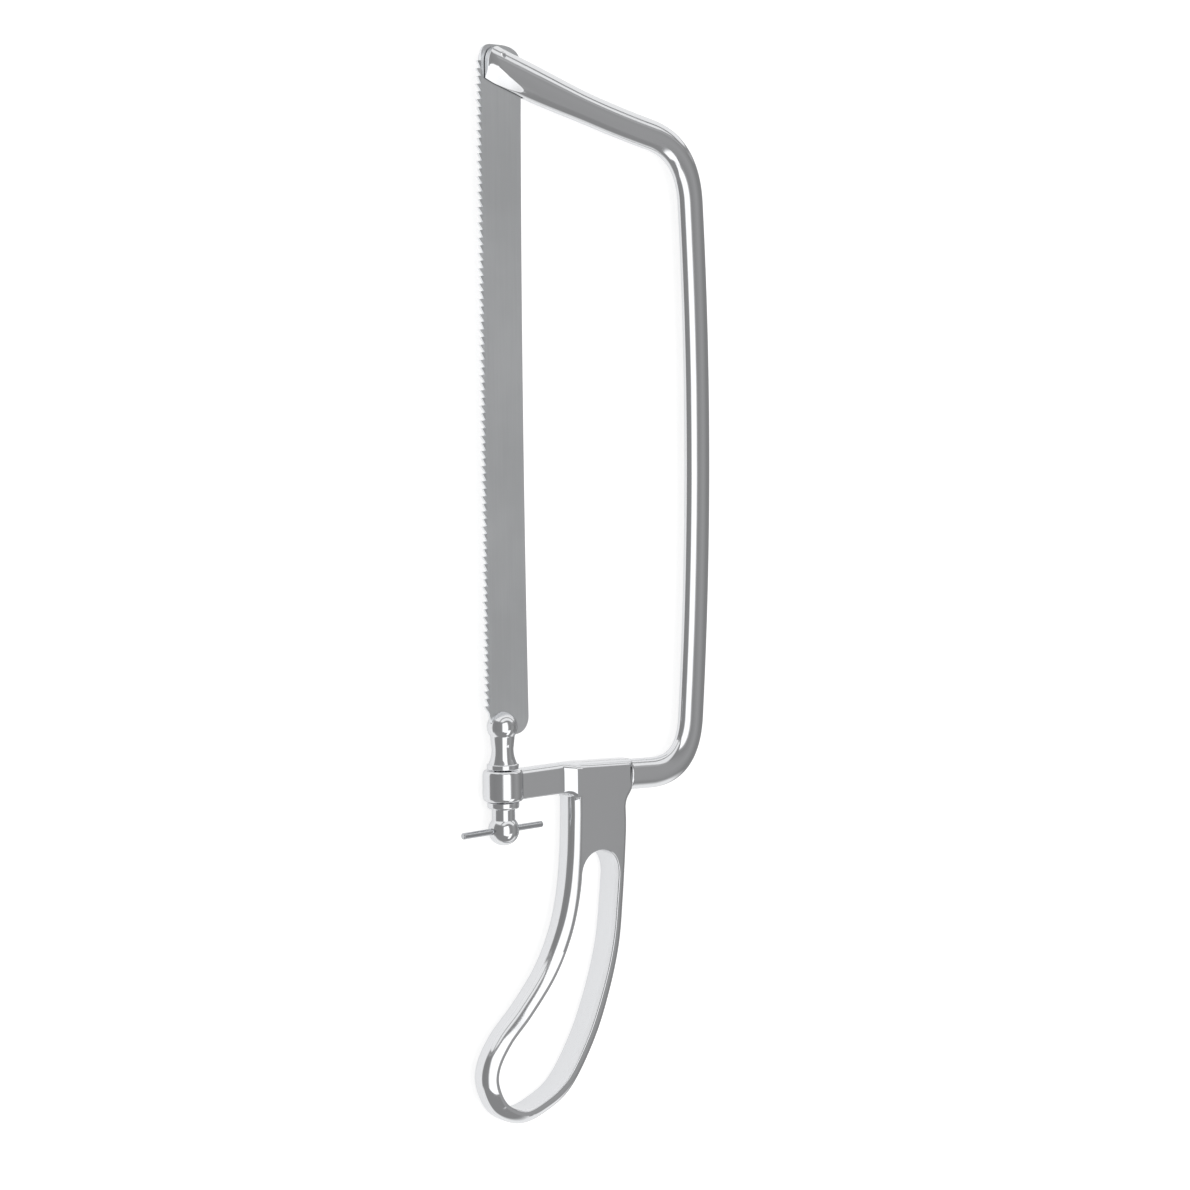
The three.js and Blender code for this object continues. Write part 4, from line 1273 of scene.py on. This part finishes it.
def studio_world():
    world = bpy.data.worlds.new("studio")
    bpy.context.scene.world = world
    world.use_nodes = True
    tree = world.node_tree
    tree.nodes.clear()
    way = add(tree, "ShaderNodeTexCoord").outputs["Generated"]
    parts = add(tree, "ShaderNodeSeparateXYZ", {"Vector": way}).outputs
    to_spine, to_toe, upward = parts["X"], parts["Y"], parts["Z"]
    to_teeth = add(tree, "ShaderNodeMath", {0: to_spine, 1: -1.0}, operation="MULTIPLY")
    turn = add(tree, "ShaderNodeMath", {0: upward, 1: to_teeth}, operation="ARCTAN2")

    def painted(value, reach, tones, tone_reach):
        """Tones by a value that runs to reach on both sides of 0, as their places do to theirs."""
        share = add(tree, "ShaderNodeMapRange", {"Value": value, "From Min": -reach, "From Max": reach})
        ramp = add(tree, "ShaderNodeValToRGB", {"Fac": share})
        set_tones(ramp, tones, -tone_reach, tone_reach)
        return ramp

    toeward = add(tree, "ShaderNodeMath", {0: to_spine, 1: TOE_END_LEAN, 2: to_toe}, operation="MULTIPLY_ADD")
    toe_share = add(tree, "ShaderNodeValToRGB", {"Fac": toeward})
    set_tones(toe_share, TOE_END_SHARE, 0, 1)
    handle_share = add(tree, "ShaderNodeMapRange", {
        "Value": to_toe, "From Min": HANDLE_END_FROM[0], "From Max": HANDLE_END_FROM[1],
    })
    leaning = add(tree, "ShaderNodeMath", {
        0: to_spine, 1: HANDLE_END_LEAN, 2: upward,
    }, operation="MULTIPLY_ADD")
    layers = [
        (toe_share, painted(upward, 1, TOE_END_TONES, 1)),
        (handle_share, painted(leaning, 1, HANDLE_END_TONES, 1)),
    ]
    up = add(tree, "ShaderNodeMath", {0: upward, 1: LEAST_RISE}, operation="MAXIMUM")
    along = add(tree, "ShaderNodeMath", {0: to_toe, 1: up}, operation="DIVIDE")
    for tones, middle, half in (
        (CARD_TONES, CARD_MIDDLE, CARD_HALF), (BOX_TONES, BOX_MIDDLE, BOX_HALF),
    ):
        across = painted(turn, math.pi, tones, 180)
        in_length = add(tree, "ShaderNodeMath", {0: along, 1: middle, 2: half}, operation="COMPARE")
        share = add(tree, "ShaderNodeMath", {0: across, 1: in_length}, operation="MULTIPLY")
        layers.append((share, linear("#FFFFFF", BOX_LIGHT)))
    layers.append((add(tree, "ShaderNodeLightPath").outputs["Is Camera Ray"], linear("#FFFFFF")))
    shown = painted(turn, math.pi, SIDE_TONES, 180).outputs["Color"]
    for share, tone in layers:
        layer = add(tree, "ShaderNodeMix", {
            MIX_SHARE: share, MIX_FIRST: shown, MIX_SECOND: tone,
        }, data_type="RGBA")
        shown = layer.outputs[MIX_RESULT]
    light = add(tree, "ShaderNodeBackground", {"Color": shown, "Strength": 1.0})
    add(tree, "ShaderNodeOutputWorld", {"Surface": light})
    return world


studio_world()
print("world: grey sides, pale ends, light box from", BOX_TONES[1][0], "to", BOX_TONES[2][0], "degrees")

# %% [markdown]
# The table is a wide pale sheet under the saw. The camera sees it lit to the white of the picture's
# background, and so do the mirrors close above it. It still takes light like any matt sheet, so the saw
# keeps a faint soft shadow and stands on something. Further off it fades out of the mirrors and the room's
# own lower part shows there, because in the photograph the sheet ended close beside the saw.

# %% Table
TABLE_HALF = 6.0  # m
TABLE_DROP = 0.00005  # the table lies this far under the barrel, m
TABLE_GLOW = 0.77
MIRROR_SHARE = 0.8  # how much of that glow the mirrors get
MIRROR_REACH = (0.013, 0.018)  # mirrors see the sheet up to the first distance and lose it by the second, m


def lay_table():
    low = cad_box[0][2] - TABLE_DROP
    mesh = bpy.data.meshes.new("table")
    corners = [(-1, -1), (1, -1), (1, 1), (-1, 1)]
    mesh.from_pydata([(TABLE_HALF * a, TABLE_HALF * b, low) for a, b in corners], [], [(0, 1, 2, 3)])
    table = new_object("table", mesh)
    sheet = bpy.data.materials.new("matt_white_paper")
    sheet.use_nodes = True
    tree = sheet.node_tree
    tree.nodes.clear()
    path = add(tree, "ShaderNodeLightPath").outputs
    mirror = path["Is Glossy Ray"]
    seen = add(tree, "ShaderNodeMath", {
        0: path["Is Camera Ray"], 1: path["Is Transmission Ray"],
    }, operation="MAXIMUM")
    bright = add(tree, "ShaderNodeMath", {0: mirror, 1: MIRROR_SHARE, 2: seen}, operation="MULTIPLY_ADD")
    matt = add(tree, "ShaderNodeBsdfDiffuse", {"Color": linear("#ACACAC")})
    glow = add(tree, "ShaderNodeEmission", {"Color": linear("#FFFFFF", TABLE_GLOW), "Strength": bright})
    paper = add(tree, "ShaderNodeAddShader", {0: matt, 1: glow})
    far = add(tree, "ShaderNodeMapRange", {
        "Value": path["Ray Length"], "From Min": MIRROR_REACH[0], "From Max": MIRROR_REACH[1],
    })
    lost = add(tree, "ShaderNodeMath", {0: mirror, 1: far}, operation="MULTIPLY")
    clear = add(tree, "ShaderNodeBsdfTransparent")
    both = add(tree, "ShaderNodeMixShader", {0: lost, 1: paper, 2: clear})
    add(tree, "ShaderNodeOutputMaterial", {"Surface": both})
    mesh.materials.append(sheet)
    table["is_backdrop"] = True
    return table


lay_table()
print("table at z, m:", round(cad_box[0][2] - TABLE_DROP, 5))

# %% [markdown]
# One large soft lamp overhead gives the saw its shadow. It is hidden from the mirrors, which show the
# room's own light box instead.

# %% Lamp
LAMP_PLACE = (45.0, 80.0, 1200.0)  # above the saw's middle, mm from the screw
LAMP_SIZE = 1.0  # m
LAMP_POWER = 4.0  # W


def hang_lamp():
    light = bpy.data.lights.new("soft_lamp", "AREA")
    light.shape = "SQUARE"
    light.size = LAMP_SIZE
    light.energy = LAMP_POWER
    lamp = new_object("soft_lamp", light)
    lamp.location = spot(*LAMP_PLACE)
    lamp.visible_glossy = False
    return lamp


hang_lamp()
bpy.context.scene.view_settings.view_transform = "Standard"
print("lamp hung, view transform:", bpy.context.scene.view_settings.view_transform)

# %% [markdown]
# Last, the box of the dressed saw is measured and printed beside the box of its solids. Nothing may grow
# past the box that the frame states.

# %% Measure and finish
boxes = {"cad": cad_box, "visual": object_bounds()}
for name, (low, high) in boxes.items():
    print(name, "mm:", [round((b - a) / MM, 2) for a, b in zip(low, high)])
